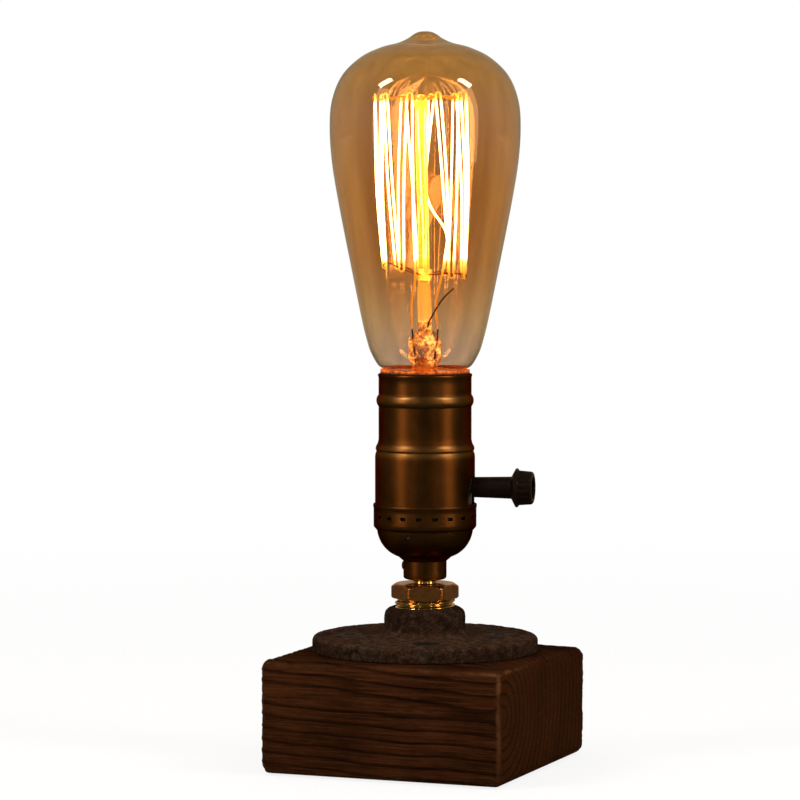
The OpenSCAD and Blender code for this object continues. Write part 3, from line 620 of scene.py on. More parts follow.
def bright_brass():
    """Polished brass on the threads, with a darker tarnish on the hexagon."""
    f = Finish("bright_brass", Metallic=1.0)
    dirt = f.effect("mottle", 420, 4)
    half = (HEX_TOP - HEX_LOW) / 2
    hexagon = f.mapped(f.off_level(BLOCK_TOP + HEX_LOW + half), half + 0.2, half - 0.05)
    colour = f.blend(f.effect("mottle", 160, 2.5), (0.72, 0.42, 0.130), (0.96, 0.64, 0.230))
    colour = f.over(colour, dirt, 0.45, (0.36, 0.13, 0.035))
    colour = f.blend(hexagon, colour, f.blend(dirt, (0.66, 0.230, 0.075), (0.44, 0.130, 0.040)))
    polish = f.between(0.09, 0.18, dirt)
    return f.feed(Base_Color=colour, Roughness=f.maths("MULTIPLY_ADD", hexagon, 0.12, polish),
                  Normal=f.bumped(f.effect("turning_lines", 5), 0.00001, 0.5))


def contact_brass():
    """Plain brass of the screw shells and contacts, with a light haze."""
    f = Finish("contact_brass", Metallic=1.0)
    haze = f.effect("mottle", 300, 2.5)
    return f.feed(Base_Color=f.blend(haze, (0.55, 0.33, 0.11), (0.72, 0.48, 0.20)),
                  Roughness=f.between(0.22, 0.4, haze),
                  Normal=f.bumped(f.effect("turning_lines", 4), 0.00001, 0.5))


# ---------------------------------------------------------------- mouldings, fibre and cement


def moulded(name, low, high, roughness, grain=1800, depth=0.00003, specular=0.5):
    """Moulded plastic or rubber: a cloudy colour, a fine grain, and pale rubbed edges."""
    f = Finish(name, Specular_IOR_Level=specular)
    fine = f.effect("mottle", grain, 2.5, 3)
    rubbed = tuple(min(c * 2.5 + 0.01, 1) for c in high)
    colour = f.blend(f.effect("mottle", 200, 2), low, high)
    return f.feed(Base_Color=f.over(colour, f.effect("edge_wear", 0.0003, 4, 600), 0.5, rubbed),
                  Roughness=f.between(roughness, roughness + 0.15, fine),
                  Normal=f.bumped(fine, depth, 0.7))


def plain_stone(name, low, high, metallic, roughness, lit=(0, 0, 0)):
    """Cement or solder: cloudy with a rough grain. Cement has a painted orange glow, as if lit by the bulb that it
    holds.
    """
    f = Finish(name, Metallic=metallic, Emission_Color=(*lit, 1), Emission_Strength=1.0)
    cloud = f.effect("mottle", 500, 2.5)
    return f.feed(Base_Color=f.blend(cloud, low, high),
                  Roughness=f.between(roughness, roughness + 0.15, cloud),
                  Normal=f.bumped(cloud, 0.00005, 0.6))


def sleeve_fibre():
    """Fibre paper sleeve with painted light and shade: painted brown-black as shade inside the shell, and with a
    painted orange glow within and at its upper edge, as if lit by the bulb.
    """
    f = Finish("sleeve_fibre", Specular_IOR_Level=0.1, Emission_Strength=1.0)
    fine = f.effect("mottle", 700, 4)
    height = f.height(FOOT)
    away = f.vector("LENGTH", f.vector("MULTIPLY", f.place(), (1000, 1000, 0)))
    outside = f.mapped(away, SLEEVE_R - 0.3, SLEEVE_R - 0.1)
    within, at_edge = f.mapped(height, 124, 132), f.mapped(height, SLEEVE_TOP - 1.4, SLEEVE_TOP - 0.4)
    # painted light and shade: this mask sets the painted orange glow, and where it is low the colour is painted dark
    # as shade
    lit = f.between(within, at_edge, outside)
    fibre = f.blend(fine, (0.11, 0.018, 0.003), (0.30, 0.065, 0.010))
    # painted orange glow, as if lit by the bulb
    glow = f.blend(fine, (0.26, 0.030, 0.002), (1.0, 0.19, 0.020))
    return f.feed(Base_Color=f.blend(lit, (0.018, 0.007, 0.003), fibre), Emission_Color=f.blend(lit, (0, 0, 0), glow),
                  Roughness=f.between(0.6, 0.8, fine), Normal=f.bumped(fine, 0.0001, 0.8))


# ---------------------------------------------------------------- glass and hot wire

# heights over the table between which the colours of each change
BULB_SPAN, MOUNT_SPAN, WIRE_SPAN, FILAMENT_SPAN = (135, 250), (126, 228), (160, 229), (147, 229)
CRUSHED_ABOVE, CRUSHED_BELOW = (153.5, 149.5), (134.5, 139)


def amber_glass():
    """Bulb glass with an amber tint: greyer low down, deeper at the crown, and with a painted shade that makes it
    darker and redder where it is faced squarely at the cage's height, with faint upright streaks and a slow ripple."""
    f = Finish("amber_glass", Transmission_Weight=1.0, IOR=1.45, Roughness=0.0, Specular_Tint=(1, 0.8, 0.6, 1))
    height = f.mapped(f.height(), *BULB_SPAN)
    tint = f.ramp(height, [(0.05, (0.75, 0.59, 0.43)), (0.15, (0.79, 0.60, 0.37)), (0.32, (0.78, 0.53, 0.275)),
                           (0.5, (0.80, 0.55, 0.28)), (0.77, (0.72, 0.52, 0.31)), (0.9, (0.69, 0.475, 0.245))])
    painted_cage_shade = f.ramp(height, [(0.1, (0.87, 0.85, 0.88)), (0.25, (0.78, 0.70, 0.66)), (0.5, (0.735, 0.626, 0.555)),
                              (0.75, (0.86, 0.77, 0.76)), (0.92, (0.96, 0.92, 0.78))])
    facing = f.put("ShaderNodeLayerWeight", {0: 0.5}).outputs["Facing"]
    # painted shade: where the glass is faced squarely its tint is filtered darker and redder
    tint = f.blend(f.mapped(facing, 0.42, 0.22, smooth=True), tint, f.filtered(tint, painted_cage_shade))
    streaks = f.mapped(f.noise((220, 220, 12), 3), 0.3, 0.7, 0.92, 1.05)
    f.let_lamps_through()
    return f.feed(Base_Color=f.filtered(tint, streaks), Normal=f.bumped(f.noise((90, 90, 30), 1), 0.000006, 0.4))


def clear_glass():
    """Glass of the mount with a painted glow, as if lit by the filament round it: yellow along the rod, orange towards
    the press, and broken into dark and bright painted flecks of shade and light where the press is squeezed. The
    painted light is deepest where the glass is thickest."""
    f = Finish("clear_glass", Transmission_Weight=1.0, IOR=1.3, Roughness=0.03, Emission_Strength=1.0)
    over_table = f.height()
    height = f.mapped(over_table, *MOUNT_SPAN)
    # painted glow of the mount, by height
    core = f.ramp(height, [(0.0, (0.35, 0.07, 0.008)), (0.10, (0.25, 0.05, 0.006)), (0.2, (1.0, 0.33, 0.04)),
                           (0.37, (1.5, 0.42, 0.03)), (0.42, (1.7, 1.1, 0.06)), (0.97, (1.9, 1.65, 0.10)),
                           (1.0, (1.4, 0.5, 0.03))])
    rim = f.ramp(height, [(0.0, (0.35, 0.07, 0.008)), (0.12, (0.25, 0.05, 0.006)), (0.2, (0.7, 0.2, 0.02)),
                          (0.37, (0.9, 0.2, 0.015)), (0.42, (1.2, 0.5, 0.03)), (1.0, (1.3, 0.55, 0.03))])
    glow = f.blend(f.put("ShaderNodeLayerWeight", {0: 0.35}).outputs["Facing"], core, rim)
    glow = f.filtered(glow, f.mapped(f.noise((900, 900, 45), 3), 0.3, 0.7, 0.6, 1.15))
    flecks = f.noise((330, 330, 330), 4, 0.7)
    # painted glints: bright and dark flecks of emission that stand in for light caught in the press
    painted_glints = f.ramp(flecks, [(0.41, (0, 0, 0)), (0.47, (0.05, 0.008, 0.001)), (0.51, (0.45, 0.11, 0.012)),
                              (0.56, (0.9, 0.35, 0.04)), (0.62, (2.0, 1.4, 0.4))])
    low = f.mapped(over_table, *CRUSHED_ABOVE, smooth=True)
    lowest = f.mapped(over_table, *CRUSHED_BELOW, smooth=True)
    glow = f.blend(low, glow, f.blend(lowest, (0.3, 0.06, 0.007), painted_glints))
    near_bead = f.mapped(f.off_level(FOOT + GLASS_BEAD_Z), GLASS_BEAD_R + 0.5, GLASS_BEAD_R - 0.8)
    # painted glints on the bead too
    glow = f.over(glow, near_bead, 0.8, painted_glints)
    # the glass is tinted darker in flecks at the press, a painted shade
    glass = f.blend(low, (0.95, 0.85, 0.65), f.blend(flecks, (0.35, 0.12, 0.04), (1.0, 0.8, 0.55)))
    f.let_lamps_through()
    return f.feed(Base_Color=glass, Emission_Color=glow, Normal=f.bumped(flecks, 0.0003, 0.7))


def wire_metal():
    """Wires in the bulb, dark iron red, with a painted glow as if lit by the filament: faint near the press and orange
    near the filament's hooks.
    """
    f = Finish("wire_metal", Metallic=0.8, Roughness=0.4, Emission_Strength=1.0)
    # painted glow, brighter towards the filament's hooks
    glow = f.ramp(f.mapped(f.height(), *WIRE_SPAN), [
        (0.0, (0, 0, 0)), (0.06, (0.15, 0.02, 0.001)), (0.2, (0.3, 0.06, 0.004)), (0.9, (1.3, 0.4, 0.03)),
        (1.0, (1.8, 0.75, 0.08))])
    stain = f.effect("mottle", 900, 3)
    return f.feed(Base_Color=f.blend(stain, (0.09, 0.022, 0.008), (0.2, 0.07, 0.03)), Emission_Color=glow,
                  Normal=f.bumped(stain, 0.00002, 0.5))


WHITE_HOT = (60, 42, 24)


def glowing_filament():
    """Lit filament: white-hot along the cage, with an orange fringe where its side turns away, yellow at the hooks,
    and dim where the ends run to the press. Matt and mirroring surfaces get less light from it than it shows."""
    f = Finish("glowing_filament", Metallic=0.5, Roughness=0.4, Emission_Strength=1.0)
    f.material.cycles.emission_sampling = "NONE"
    core = f.ramp(f.mapped(f.height(), *FILAMENT_SPAN), [
        (0.0, (0.6, 0.15, 0.01)), (0.12, (1.0, 0.4, 0.05)), (0.22, (1.3, 0.6, 0.06)), (0.26, (1.6, 0.9, 0.12)),
        (0.30, (5.0, 3.2, 0.8)), (0.33, WHITE_HOT), (0.93, WHITE_HOT), (0.965, (6.0, 3.6, 0.7)),
        (1.0, (1.5, 0.75, 0.07))])
    facing = f.put("ShaderNodeLayerWeight", {0: 0.5}).outputs["Facing"]
    fringe = f.mapped(facing, 0.45, 0.75, smooth=True)
    glow = f.blend(fringe, core, f.filtered(core, (0.04, 0.018, 0.003)))
    grain = f.effect("mottle", 700, 2)
    glow = f.filtered(glow, f.between(0.8, 1.1, grain))
    path = f.put("ShaderNodeLightPath").outputs
    mirrored = f.times(f.maths("GREATER_THAN", path["Glossy Depth"], 0.5), 0.4)
    less = f.maths("MAXIMUM", f.times(path["Is Diffuse Ray"], 0.85), mirrored)
    return f.feed(Base_Color=f.blend(grain, (0.8, 0.45, 0.15), (1.0, 0.7, 0.3)),
                  Emission_Color=f.blend(less, glow, (0, 0, 0)))


MATERIALS = {
    "stained_wood": stained_wood(),
    "foot_rubber": moulded("foot_rubber", (0.012, 0.012, 0.012), (0.022, 0.021, 0.02), 0.7),
    "black_moulding": moulded("black_moulding", (0.008, 0.007, 0.006), (0.016, 0.014, 0.012), 0.42),
    "cast_iron": cast_iron(),
    "black_screws": moulded("black_screws", (0.0045, 0.0028, 0.0020), (0.013, 0.008, 0.0055), 0.5, depth=0.00004,
                            specular=0.1),
    "bright_brass": bright_brass(),
    "antique_brass": antique_brass(),
    "sleeve_fibre": sleeve_fibre(),
    "contact_brass": contact_brass(),
    "rotor_moulding": moulded("rotor_moulding", (0.5, 0.44, 0.34), (0.62, 0.56, 0.44), 0.35),
    "knob_moulding": moulded("knob_moulding", (0.0034, 0.0013, 0.0005), (0.0090, 0.0028, 0.0009), 0.36, grain=900,
                             specular=0.07),
    "black_glass": moulded("black_glass", (0.006, 0.006, 0.008), (0.012, 0.012, 0.016), 0.12),
    "solder": plain_stone("solder", (0.35, 0.34, 0.32), (0.6, 0.58, 0.55), 0.9, 0.35),
    # the cement's last colour is its painted orange glow, as if lit by the bulb
    "cement": plain_stone("cement", (0.5, 0.47, 0.4), (0.7, 0.66, 0.58), 0.0, 0.75, (0.5, 0.09, 0.008)),
    "amber_glass": amber_glass(),
    "clear_glass": clear_glass(),
    "wire_metal": wire_metal(),
    "glowing_filament": glowing_filament(),
}

for subpart in frame["record"]["subparts"]:
    dress(frame["nodes"][subpart["node"]], subpart["material_slot"])

# ---------------------------------------------------------------- wood block

CELL = 0.66
SOFT_WOOD_SUNK, FIBRES_SUNK, EDGE_RUBBED, BACK_FALL = 0.24, 0.10, 0.35, 1.7


def block_face(axis, sign, across, up):
    """Grid over one face of the block, on the box before its edges are rounded."""
    u, v = (np.linspace(-1, 1, int(BLOCK_BOX[k] / CELL)) * BLOCK_BOX[k] / 2 for k in (across, up))
    grid = np.zeros((len(v), len(u), 3))
    grid[..., across], grid[..., up] = u[None, :], v[:, None]
    grid[..., axis] = sign * BLOCK_BOX[axis] / 2
    return grid


def block_shape(p):
    """A rounded box: each point lies the edge's radius away from the nearest point of a smaller box. The soft wood
    between the growth rings is sunk a little, the edges are rubbed unevenly, and the top falls to the back corner."""
    half = BLOCK_BOX / 2
    core = np.clip(p, -(half - BLOCK_ROUND), half - BLOCK_ROUND)
    away = p - core
    away /= np.linalg.norm(away, axis=-1, keepdims=True)
    place = core + BLOCK_ROUND * away + [0, 0, FOOT + half[2]]
    fraction = np.mod(ring_place(place), 1)
    late = smoothstep(*LATE_WOOD, fraction) * smoothstep(1.0, 0.95, fraction)
    rubbed = np.sort(np.abs(away), axis=-1)[..., 1]
    fibres = np.clip(1 + ripples(place * [0.25, 1, 1], 1.4, 3), 0, 2)
    worn = np.clip(1 + ripples(place, 9, 4), 0, 2)
    sunk = SOFT_WOOD_SUNK * (1 - late) + FIBRES_SUNK * fibres + EDGE_RUBBED * rubbed * worn
    open_top = smoothstep(FLANGE_RIM, FLANGE_RIM + 6, off_axis(place))
    on_top = smoothstep(BLOCK_TOP - 9, BLOCK_TOP - 1, place[..., 2])
    fall = BACK_FALL * np.prod(np.clip(0.5 + place[..., :2] / BLOCK_SIDE, 0, 1), axis=-1)
    under = smoothstep(FOOT + 1, FOOT, place[..., 2]) + on_top * (1 - open_top)
    place = place - away * (sunk * np.clip(1 - under, 0, 1))[..., None]
    place[..., 2] -= fall * open_top * on_top
    return place


def wood_block():
    faces = [(axis, sign, *(k for k in range(3) if k != axis)) for axis in range(3) for sign in (1, -1)]
    parts = [mesh_of(block_shape(block_face(*face)), columns_meet=False) for face in faces]
    holes = [[drill((0, BLOCK_SIDE / 2 - depth, BUSH_Z), (0, 1), r, 20, 48)] for r, depth in ((7.0, 1.4), (5.5, 9.0))]
    make_piece("wood_block_grained", parts, "base", "wood_block", "stained_wood", 50, holes)


# ---------------------------------------------------------------- flange and adapter

CAST_BUMP = 0.16


def floor_flange():
    """The cast plate and boss: a lathed outline whose upper side is moved by coarse and fine bumps of the sand."""
    columns = 380
    outline = evenly(profile(
        (PIPE_R + 0.05, 0), arc(FLANGE_RIM - 0.8, 0.8, 0.8, -90, 0),
        arc(FLANGE_RIM - 1.8, FLANGE_T - 1.8, 1.8, 0, 80, 9), (FLANGE_RIM - 9, FLANGE_T + 0.15),
        arc(BOSS_R + BOSS_FILLET, FLANGE_T + 0.5 + BOSS_FILLET, BOSS_FILLET, -90, -180, 9),
        arc(BOSS_R - BOSS_ROUND, BOSS_H - BOSS_ROUND, BOSS_ROUND, 0, 90, 10),
        (PIPE_R + 0.8, BOSS_H), (PIPE_R + 0.05, BOSS_H - 0.8)), 0.62)
    d = direction(outline)
    out = round_grid(d[:, 1:], -d[:, :1], columns)
    grid = turned(outline, columns)
    bumps = 0.5 + 0.5 * ripples(grid, 14, 11) + 0.45 * ripples(grid, 3.6, 12) + 0.3 * ripples(grid, 1.7, 13)
    free = smoothstep(0.3, 1.2, grid[..., 2]) * smoothstep(PIPE_R + 0.3, PIPE_R + 1.6, off_axis(grid))
    grid = grid - out * (CAST_BUMP * np.clip(bumps, 0, 2) * free)[..., None] + [0, 0, BLOCK_TOP]
    mouth = turned([(0, -1), (2.5, -1), (2.5, 2.7), (4.95, 5.15), (4.95, 7), (0, 7)], 48) + [0, 0, BLOCK_TOP]
    screws = CAGE_TURN + np.arange(4) * math.pi / 2
    cuts = [ring_mesh(mouth + [SCREW_CIRCLE * math.cos(a), SCREW_CIRCLE * math.sin(a), 0]) for a in screws]
    make_piece("floor_flange_cast", [ring_mesh(grid)], "base", "floor_flange", "cast_iron", 50, [cuts])


def pipe_thread(z, angle):
    """Radius of a helical thread of rounded ridges."""
    way = np.mod(z / PIPE_PITCH - angle / (2 * math.pi), 1)
    return PIPE_R - PIPE_DEPTH * (1 - smoothstep(0.0, 0.42, way) * smoothstep(1.0, 0.58, way))


def hexagon(z, angle):
    """Radius of the hexagon: the distance to its nearest side, or to a circle of HEX_CORNER in its corners, less where
    a cone breaks them."""
    flat = HEX_R * math.cos(math.pi / 6)
    side = np.abs(np.mod(angle - CAGE_TURN, math.pi / 3) - math.pi / 6)
    centre = (flat - HEX_CORNER) / math.cos(math.pi / 6)
    aside = centre * np.sin(math.pi / 6 - side)
    corner = centre * np.cos(math.pi / 6 - side) + np.sqrt(np.maximum(HEX_CORNER**2 - aside**2, 0))
    r = np.where(np.tan(side) * flat < (flat - HEX_CORNER) * math.tan(math.pi / 6), flat / np.cos(side), corner)
    return np.minimum(r, np.minimum(flat + 0.7 + (z - HEX_LOW) * 1.6, flat - 0.3 + (HEX_TOP - z) * 1.55))


def brass_adapter():
    """Rows of radii from the pipe's end up over the hexagon to the stud, then down through the bore."""
    angle = CAGE_TURN + around(360)
    root = PIPE_R - PIPE_DEPTH
    pipe = np.arange(5.2, HEX_LOW - 0.4, 0.11)
    rows = [(z, pipe_thread(z, angle) if z > PIPE_LOW else root + PIPE_DEPTH / 2) for z in pipe]
    rows += [(HEX_LOW - 0.28, root), (HEX_LOW, root + 0.2)]
    steps = (0, 0.02, 0.15, 0.35, 0.6, 0.9, 1.3, 2.6, 3.6, 3.9, 4.2, 4.5, 4.75, 4.95, 5.05, 5.1)
    rows += [(HEX_LOW + step, hexagon(HEX_LOW + step, angle)) for step in steps]
    stud = ((4.5, 0.0), (4.25, 0.12), (4.2, 0.4), (4.2, 0.9), (4.4, 1.0), (4.8, 1.4), (4.8, 8.5), (4.3, 9), (3.3, 9),
            (3.05, 8.75), (3.05, -6.5), (7, -6.5), (7, -17.9))
    rows += [(HEX_TOP + z, r) for r, z in stud]
    r = np.stack([np.broadcast_to(row[1], angle.shape) for row in rows])
    z = np.array([[row[0]] for row in rows]) + BLOCK_TOP
    grid = turned_about_z(round_grid(r, z, len(angle)), CAGE_TURN)
    make_piece("brass_adapter_threaded", [ring_mesh(grid)], "base", "brass_adapter", "bright_brass", 28)


# ---------------------------------------------------------------- socket


def slot_cuts():
    return [box_at((LOWER_R, 0, FOOT + SLOT_Z), (4, SLOT_W, SLOT_H), SOCKET_TURN + math.radians(angle))
            for angle in SLOT_PHASE + 360 / SLOTS * np.arange(SLOTS)]


def notch_cut(half, top):
    """Slot with a round upper end on the knob's side, open below: its outline carried along the knob's axis."""
    foot = [(-half, FOOT + SHELL_LOW - 1), (half, FOOT + SHELL_LOW - 1)]
    outline = profile(arc(0, FOOT + top - half, half, 0, 180, 24), foot)
    grid = np.stack([np.column_stack([np.full(len(outline), x), outline]) for x in (12.7, 20.7)])
    return rod_mesh(turned_about_z(grid, SOCKET_TURN))


def socket_cap():
    """Spun neck, bowl and collar in one outline, with the collar's slots, the pin hole and the set screw's hole."""
    neck, bore, inside, bowl_x, bowl_r, bowl_h = 7.35, 4.85, LOWER_R + 0.05, 6.2, 10.2, 10.8
    wall = BRASS_T + 0.1
    loop = profile(
        (bore, 63), arc(neck - 1, 64, 1, -90, 0, 8), (neck, 69.2),
        arc(bowl_x, COLLAR_LOW, bowl_r, -73, -6, 25, bowl_h),
        (COLLAR_R - 0.85, 80.02), (COLLAR_R - 0.7, 80.3), (COLLAR_R - 0.25, 80.75), (COLLAR_R, COLLAR_LOW + 0.15),
        (COLLAR_R, COLLAR_TOP - 1.3), (COLLAR_R + 0.15, COLLAR_TOP - 1.0),
        arc(COLLAR_R - 0.15, COLLAR_TOP - 0.3, 0.3, 0, 90, 5),
        (inside, COLLAR_TOP), (inside, SHELL_LOW), (bowl_x + bowl_r - BRASS_T, SHELL_LOW),
        arc(bowl_x, COLLAR_LOW, bowl_r - wall, 0, -80, 15, bowl_h - wall), (bore, 70.9))
    cuts = slot_cuts()
    for degrees, start, height, radius, length in ((-101, 11.5, 78.2, 0.9, 8), (180, 0, 67.5, 1.3, 9)):
        angle = SOCKET_TURN + math.radians(degrees)
        way = (math.cos(angle), math.sin(angle))
        cuts.append(drill((start * way[0], start * way[1], FOOT + height), way, radius, length))
    cap = lathed(loop, 240, SOCKET_TURN, 1.5)
    make_piece("socket_cap_spun", [cap], "base", "socket_cap", "antique_brass", 32, [cuts])


def socket_shell():
    """Drawn shell: the wide lower part, a shoulder of two rolls and a groove, the upper part with its bead, and a
    rolled rim, then the same way back inside."""
    t, z, low, up, middle = BRASS_T, SHOULDER, LOWER_R, UPPER_R, BEAD_LOW + BEAD_H / 2
    loop = profile(
        (low - t, SHELL_LOW), (low, SHELL_LOW), (low, z - 2),
        smooth_curve([(low, z - 0.3), (low - 0.08, z + 0.5), (low - 0.3, z + 1.2), (low - 0.47, z + 1.6)], 5),
        smooth_curve([(low - 0.47, z + 1.85), (low - 0.28, z + 2.15), (low - 0.2, z + 2.6), (low - 0.38, z + 3.4),
                      (up + 0.3, z + 4.4), (up, z + 5.8)], 6),
        (up, z + 8), (up, BEAD_LOW - 0.2), arc(up - 2.3, middle, 3.05, -41, 41, 18), (up, BEAD_LOW + BEAD_H + 0.2),
        (up, SHELL_TOP - 1.3), (up + 0.2, SHELL_TOP - 0.7), arc(up - 0.15, SHELL_TOP - 0.35, 0.35, 0, 180, 10),
        (up - t, SHELL_TOP - 1.3), (up - t, BEAD_LOW + BEAD_H + 0.3), arc(up - t - 2.3, middle, 3.05, 38, -38, 8),
        (up - t, BEAD_LOW - 0.3),
        smooth_curve([(up - t, z + 5.6), (up + 0.25 - t, z + 4.2), (low - 0.55 - t, z + 2.8), (low - t, z + 0.6)], 4))
    shell = lathed(loop, 240, SOCKET_TURN, 2.0)
    cuts = [slot_cuts(), [notch_cut(5.5, 98.9)]]
    make_piece("socket_shell_drawn", [shell], "base", "socket_shell", "antique_brass", 32, cuts)


def insulating_sleeve():
    """Fibre tube inside the shell. Its cut upper edge is slightly uneven."""
    low, up, t = LOWER_R - BRASS_T - 0.25, SLEEVE_R, SLEEVE_T
    loop = profile((low - t, SHELL_LOW), (low, SHELL_LOW), (low, SHOULDER - 0.6), (up, SHOULDER + 0.6), (up, 130),
                   (up, SLEEVE_TOP - 0.3), (up - 0.12, SLEEVE_TOP - 0.08), (up - 0.25, SLEEVE_TOP),
                   (up - t, SLEEVE_TOP - 0.05), (up - t, SHOULDER), (low - t, SHOULDER - 1))
    points, faces = lathed(loop, 240, SOCKET_TURN, 2.0)
    angle = np.arctan2(points[:, 1], points[:, 0])
    edge = smoothstep(FOOT + 133.5, FOOT + SLEEVE_TOP, points[:, 2])
    points[:, 2] -= edge * (0.16 + 0.1 * np.sin(3 * angle) + 0.06 * np.sin(11 * angle + 1))
    make_piece("insulating_sleeve_fibre", [(points, faces)], "base", "insulating_sleeve", "sleeve_fibre", 40,
               [[notch_cut(4.5, 99.1)]])


def switch_knob():
    """Lathed outline along the knob's axis. On the head the radius is cut back by round flutes: the near side of a
    circle of FLUTE_R about a centre a little outside the head."""
    stem, stem_end, lip, head, end = 3.45, 3.75, 6.65, 5.9, 5.6
    outline = evenly(profile(
        (2, 16.5), (stem - 0.4, 16.5), (stem, 16.9), (stem_end, 29.6), arc(stem_end + 0.9, 29.4, 0.9, 170, 100, 5),
        (lip - 0.6, 31.15), arc(lip - 0.4, 31.7, 0.4, -40, 70, 7), (head + 0.25, 32.2), (head, HEAD_FROM),
        (end, KNOB_END - 0.9), arc(end - 0.9, KNOB_END - 0.9, 0.9, 0, 90, 9), (4.3, KNOB_END),
        arc(4.0, KNOB_END - 0.3, 0.3, 90, 180, 4), (3.65, KNOB_END - 1.8), arc(3.35, KNOB_END - 1.8, 0.3, 0, -90, 4),
        (1.2, KNOB_END - 2.2), (0, KNOB_END - 2.2), (0, 27), (2, 27)), 0.8)
    columns = FLUTES * 12
    off = np.mod(around(columns) + math.pi / FLUTES, 2 * math.pi / FLUTES) - math.pi / FLUTES
    centre = head + 0.25
    aside = centre * np.sin(off)
    near = centre * np.cos(off) - np.sqrt(np.maximum(FLUTE_R**2 - aside**2, 0))
    r, z = outline[:, :1], outline[:, 1:]
    flute = np.where((z > HEAD_FROM + 0.15) & (r > 4.5) & (np.abs(aside) < FLUTE_R), near, np.inf)
    flute = flute + smoothstep(HEAD_FROM + 0.9, HEAD_FROM + 0.15, z) * 0.5
    grid = round_grid(np.minimum(r, flute), z, columns)
    make_piece("switch_knob_fluted", [ring_mesh(along_knob(grid))], "switch", "switch_knob", "knob_moulding", 30)


# ---------------------------------------------------------------- bulb

GLASS_OUTLINE = [
    (11.8, 125), (11.8, 131.4), (12.5, 133.2), (14.1, 134.6), (16.1, 136.1), (18.4, 140.2), (19.75, 144.3),
    (21.65, 152.2), (25.5, 171.3), (29.35, 191), (31.6, 205), (32.3, 217), (31.4, 226), (28, 234), (21.8, 240),
    (15, 243.3), (9.3, 244.8), (5.9, 246.3), (3.9, 247.7), (2.1, 248.5), (0, 248.7),
]


def bulb_glass():
    """Blown glass: a smooth outline turned round the axis, with the wall's inner side a little uneven."""
    side = smooth_curve(GLASS_OUTLINE, 7)
    inner = inset(side, GLASS_THICK)
    inner[0, 1] = side[0, 1]
    inner[-1] = (0, side[-1, 1] - GLASS_THICK * 1.6)
    grid = turned(np.vstack([side, inner[::-1]]), 200) + [0, 0, FOOT]
    wave = ripples(grid * [1, 1, 0.35], 16, 21)[len(side):]
    r = off_axis(grid[len(side):])
    grid[len(side):, :, :2] *= (1 + 0.03 * wave * (r > 12.5) / np.maximum(r, 1))[..., None]
    make_piece("bulb_glass", [ring_mesh(grid)], "bulb", "glass_envelope", "amber_glass", 60)


SLACK_STRAND = (3, 1)


def on_bulb(angle, r, z):
    a = math.radians(angle)
    return [r * math.cos(a), r * math.sin(a), z]


def hook_angle(k):
    return FIRST_HOOK + 360 / HOOKS * k


def low_z(angle):
    return 167 - 2.2 * math.cos(math.radians(angle))


def leaning(points):
    """Leans the rod and what it carries about the top of the press."""
    p = points - [0, 0, PRESS_TOP]
    c, s = math.cos(CAGE_LEAN), math.sin(CAGE_LEAN)
    return np.stack([p[..., 0] * c - p[..., 2] * s, p[..., 1], p[..., 0] * s + p[..., 2] * c + PRESS_TOP], -1)


def in_bulb(points):
    """Turns what is inside the bulb to the side that the bulb ends up facing."""
    return turned_about_z(points, CAGE_TURN) + [0, 0, FOOT]


def wire(path, radius):
    return rod_mesh(swept(in_bulb(path), radius))


def over_hook(angle, r, z, up):
    """Half turn of the filament over a hook, upwards or downwards."""
    a = math.radians(angle)
    t = np.radians(np.linspace(-90, 90, 9))
    side = BEND * np.sin(t)
    return np.stack([r * math.cos(a) - side * math.sin(a), r * math.sin(a) + side * math.cos(a),
                     z + up * BEND * np.cos(t)], 1)


def strand(k, half, start, end):
    """Strand between two bends, bowed outwards a little. The slack one sags behind the rod."""
    if (k, half) == SLACK_STRAND:
        return smooth_curve([start, [8.1, 9, 180], [1.4, 13, 195], end], 8)[1:-1]
    middle = on_bulb(hook_angle(k + (0.73 if half else 0.27)), (TOP_RING + LOW_RING) / 2 + 0.8, 197)
    return smooth_curve([start, middle, end], 10)[1:-1]


def filament_path():
    """One line: up from a lead wire, over the upper and lower hooks in turn, and down to the other lead wire."""
    line = [smooth_curve([[4.4, 0, 148.5], [3.9, -1.6, 157], [6, -9, 166.5], [8, -11.5, 178]], 6)]
    tops = [over_hook(hook_angle(k), TOP_RING, FILAMENT_TOP - BEND, 1) for k in range(HOOKS)]
    between = [hook_angle(k + 0.5) for k in range(HOOKS - 1)]
    lows = [over_hook(angle, LOW_RING, low_z(angle) + BEND, -1) for angle in between]
    for k in range(HOOKS - 1):
        line += [tops[k], strand(k, 0, tops[k][-1], lows[k][0]), lows[k], strand(k, 1, lows[k][-1], tops[k + 1][0])]
    line += [tops[-1], smooth_curve([[-3.3, -13, 185], [-3, -7, 167], [-4.4, -1.5, 157], [-4.4, 0, 148.5]], 6)]
    return evenly(np.vstack(line), 2.5)


def lit_filament():
    make_piece("filament_wire", [wire(leaning(filament_path()), 0.4)], "bulb", "filament", "glowing_filament", 80)


def support(angle, line, ring, up, radius):
    """An arm through three points (radius, height), which ends in an open loop round the filament's bend at the
    ring's radius, in the plane through the bulb's axis."""
    arm = smooth_curve([on_bulb(angle, *point) for point in line], 5)
    z = line[-1][1] + 0.15 * up
    turn = np.linspace(-0.5 * math.pi, 1.1 * math.pi, 12)
    loop = [on_bulb(angle, ring + CURL_R * math.cos(v), z + up * CURL_R * (1 + math.sin(v))) for v in turn]
    return wire(leaning(evenly(np.vstack([arm, loop]), 1.5)), radius)


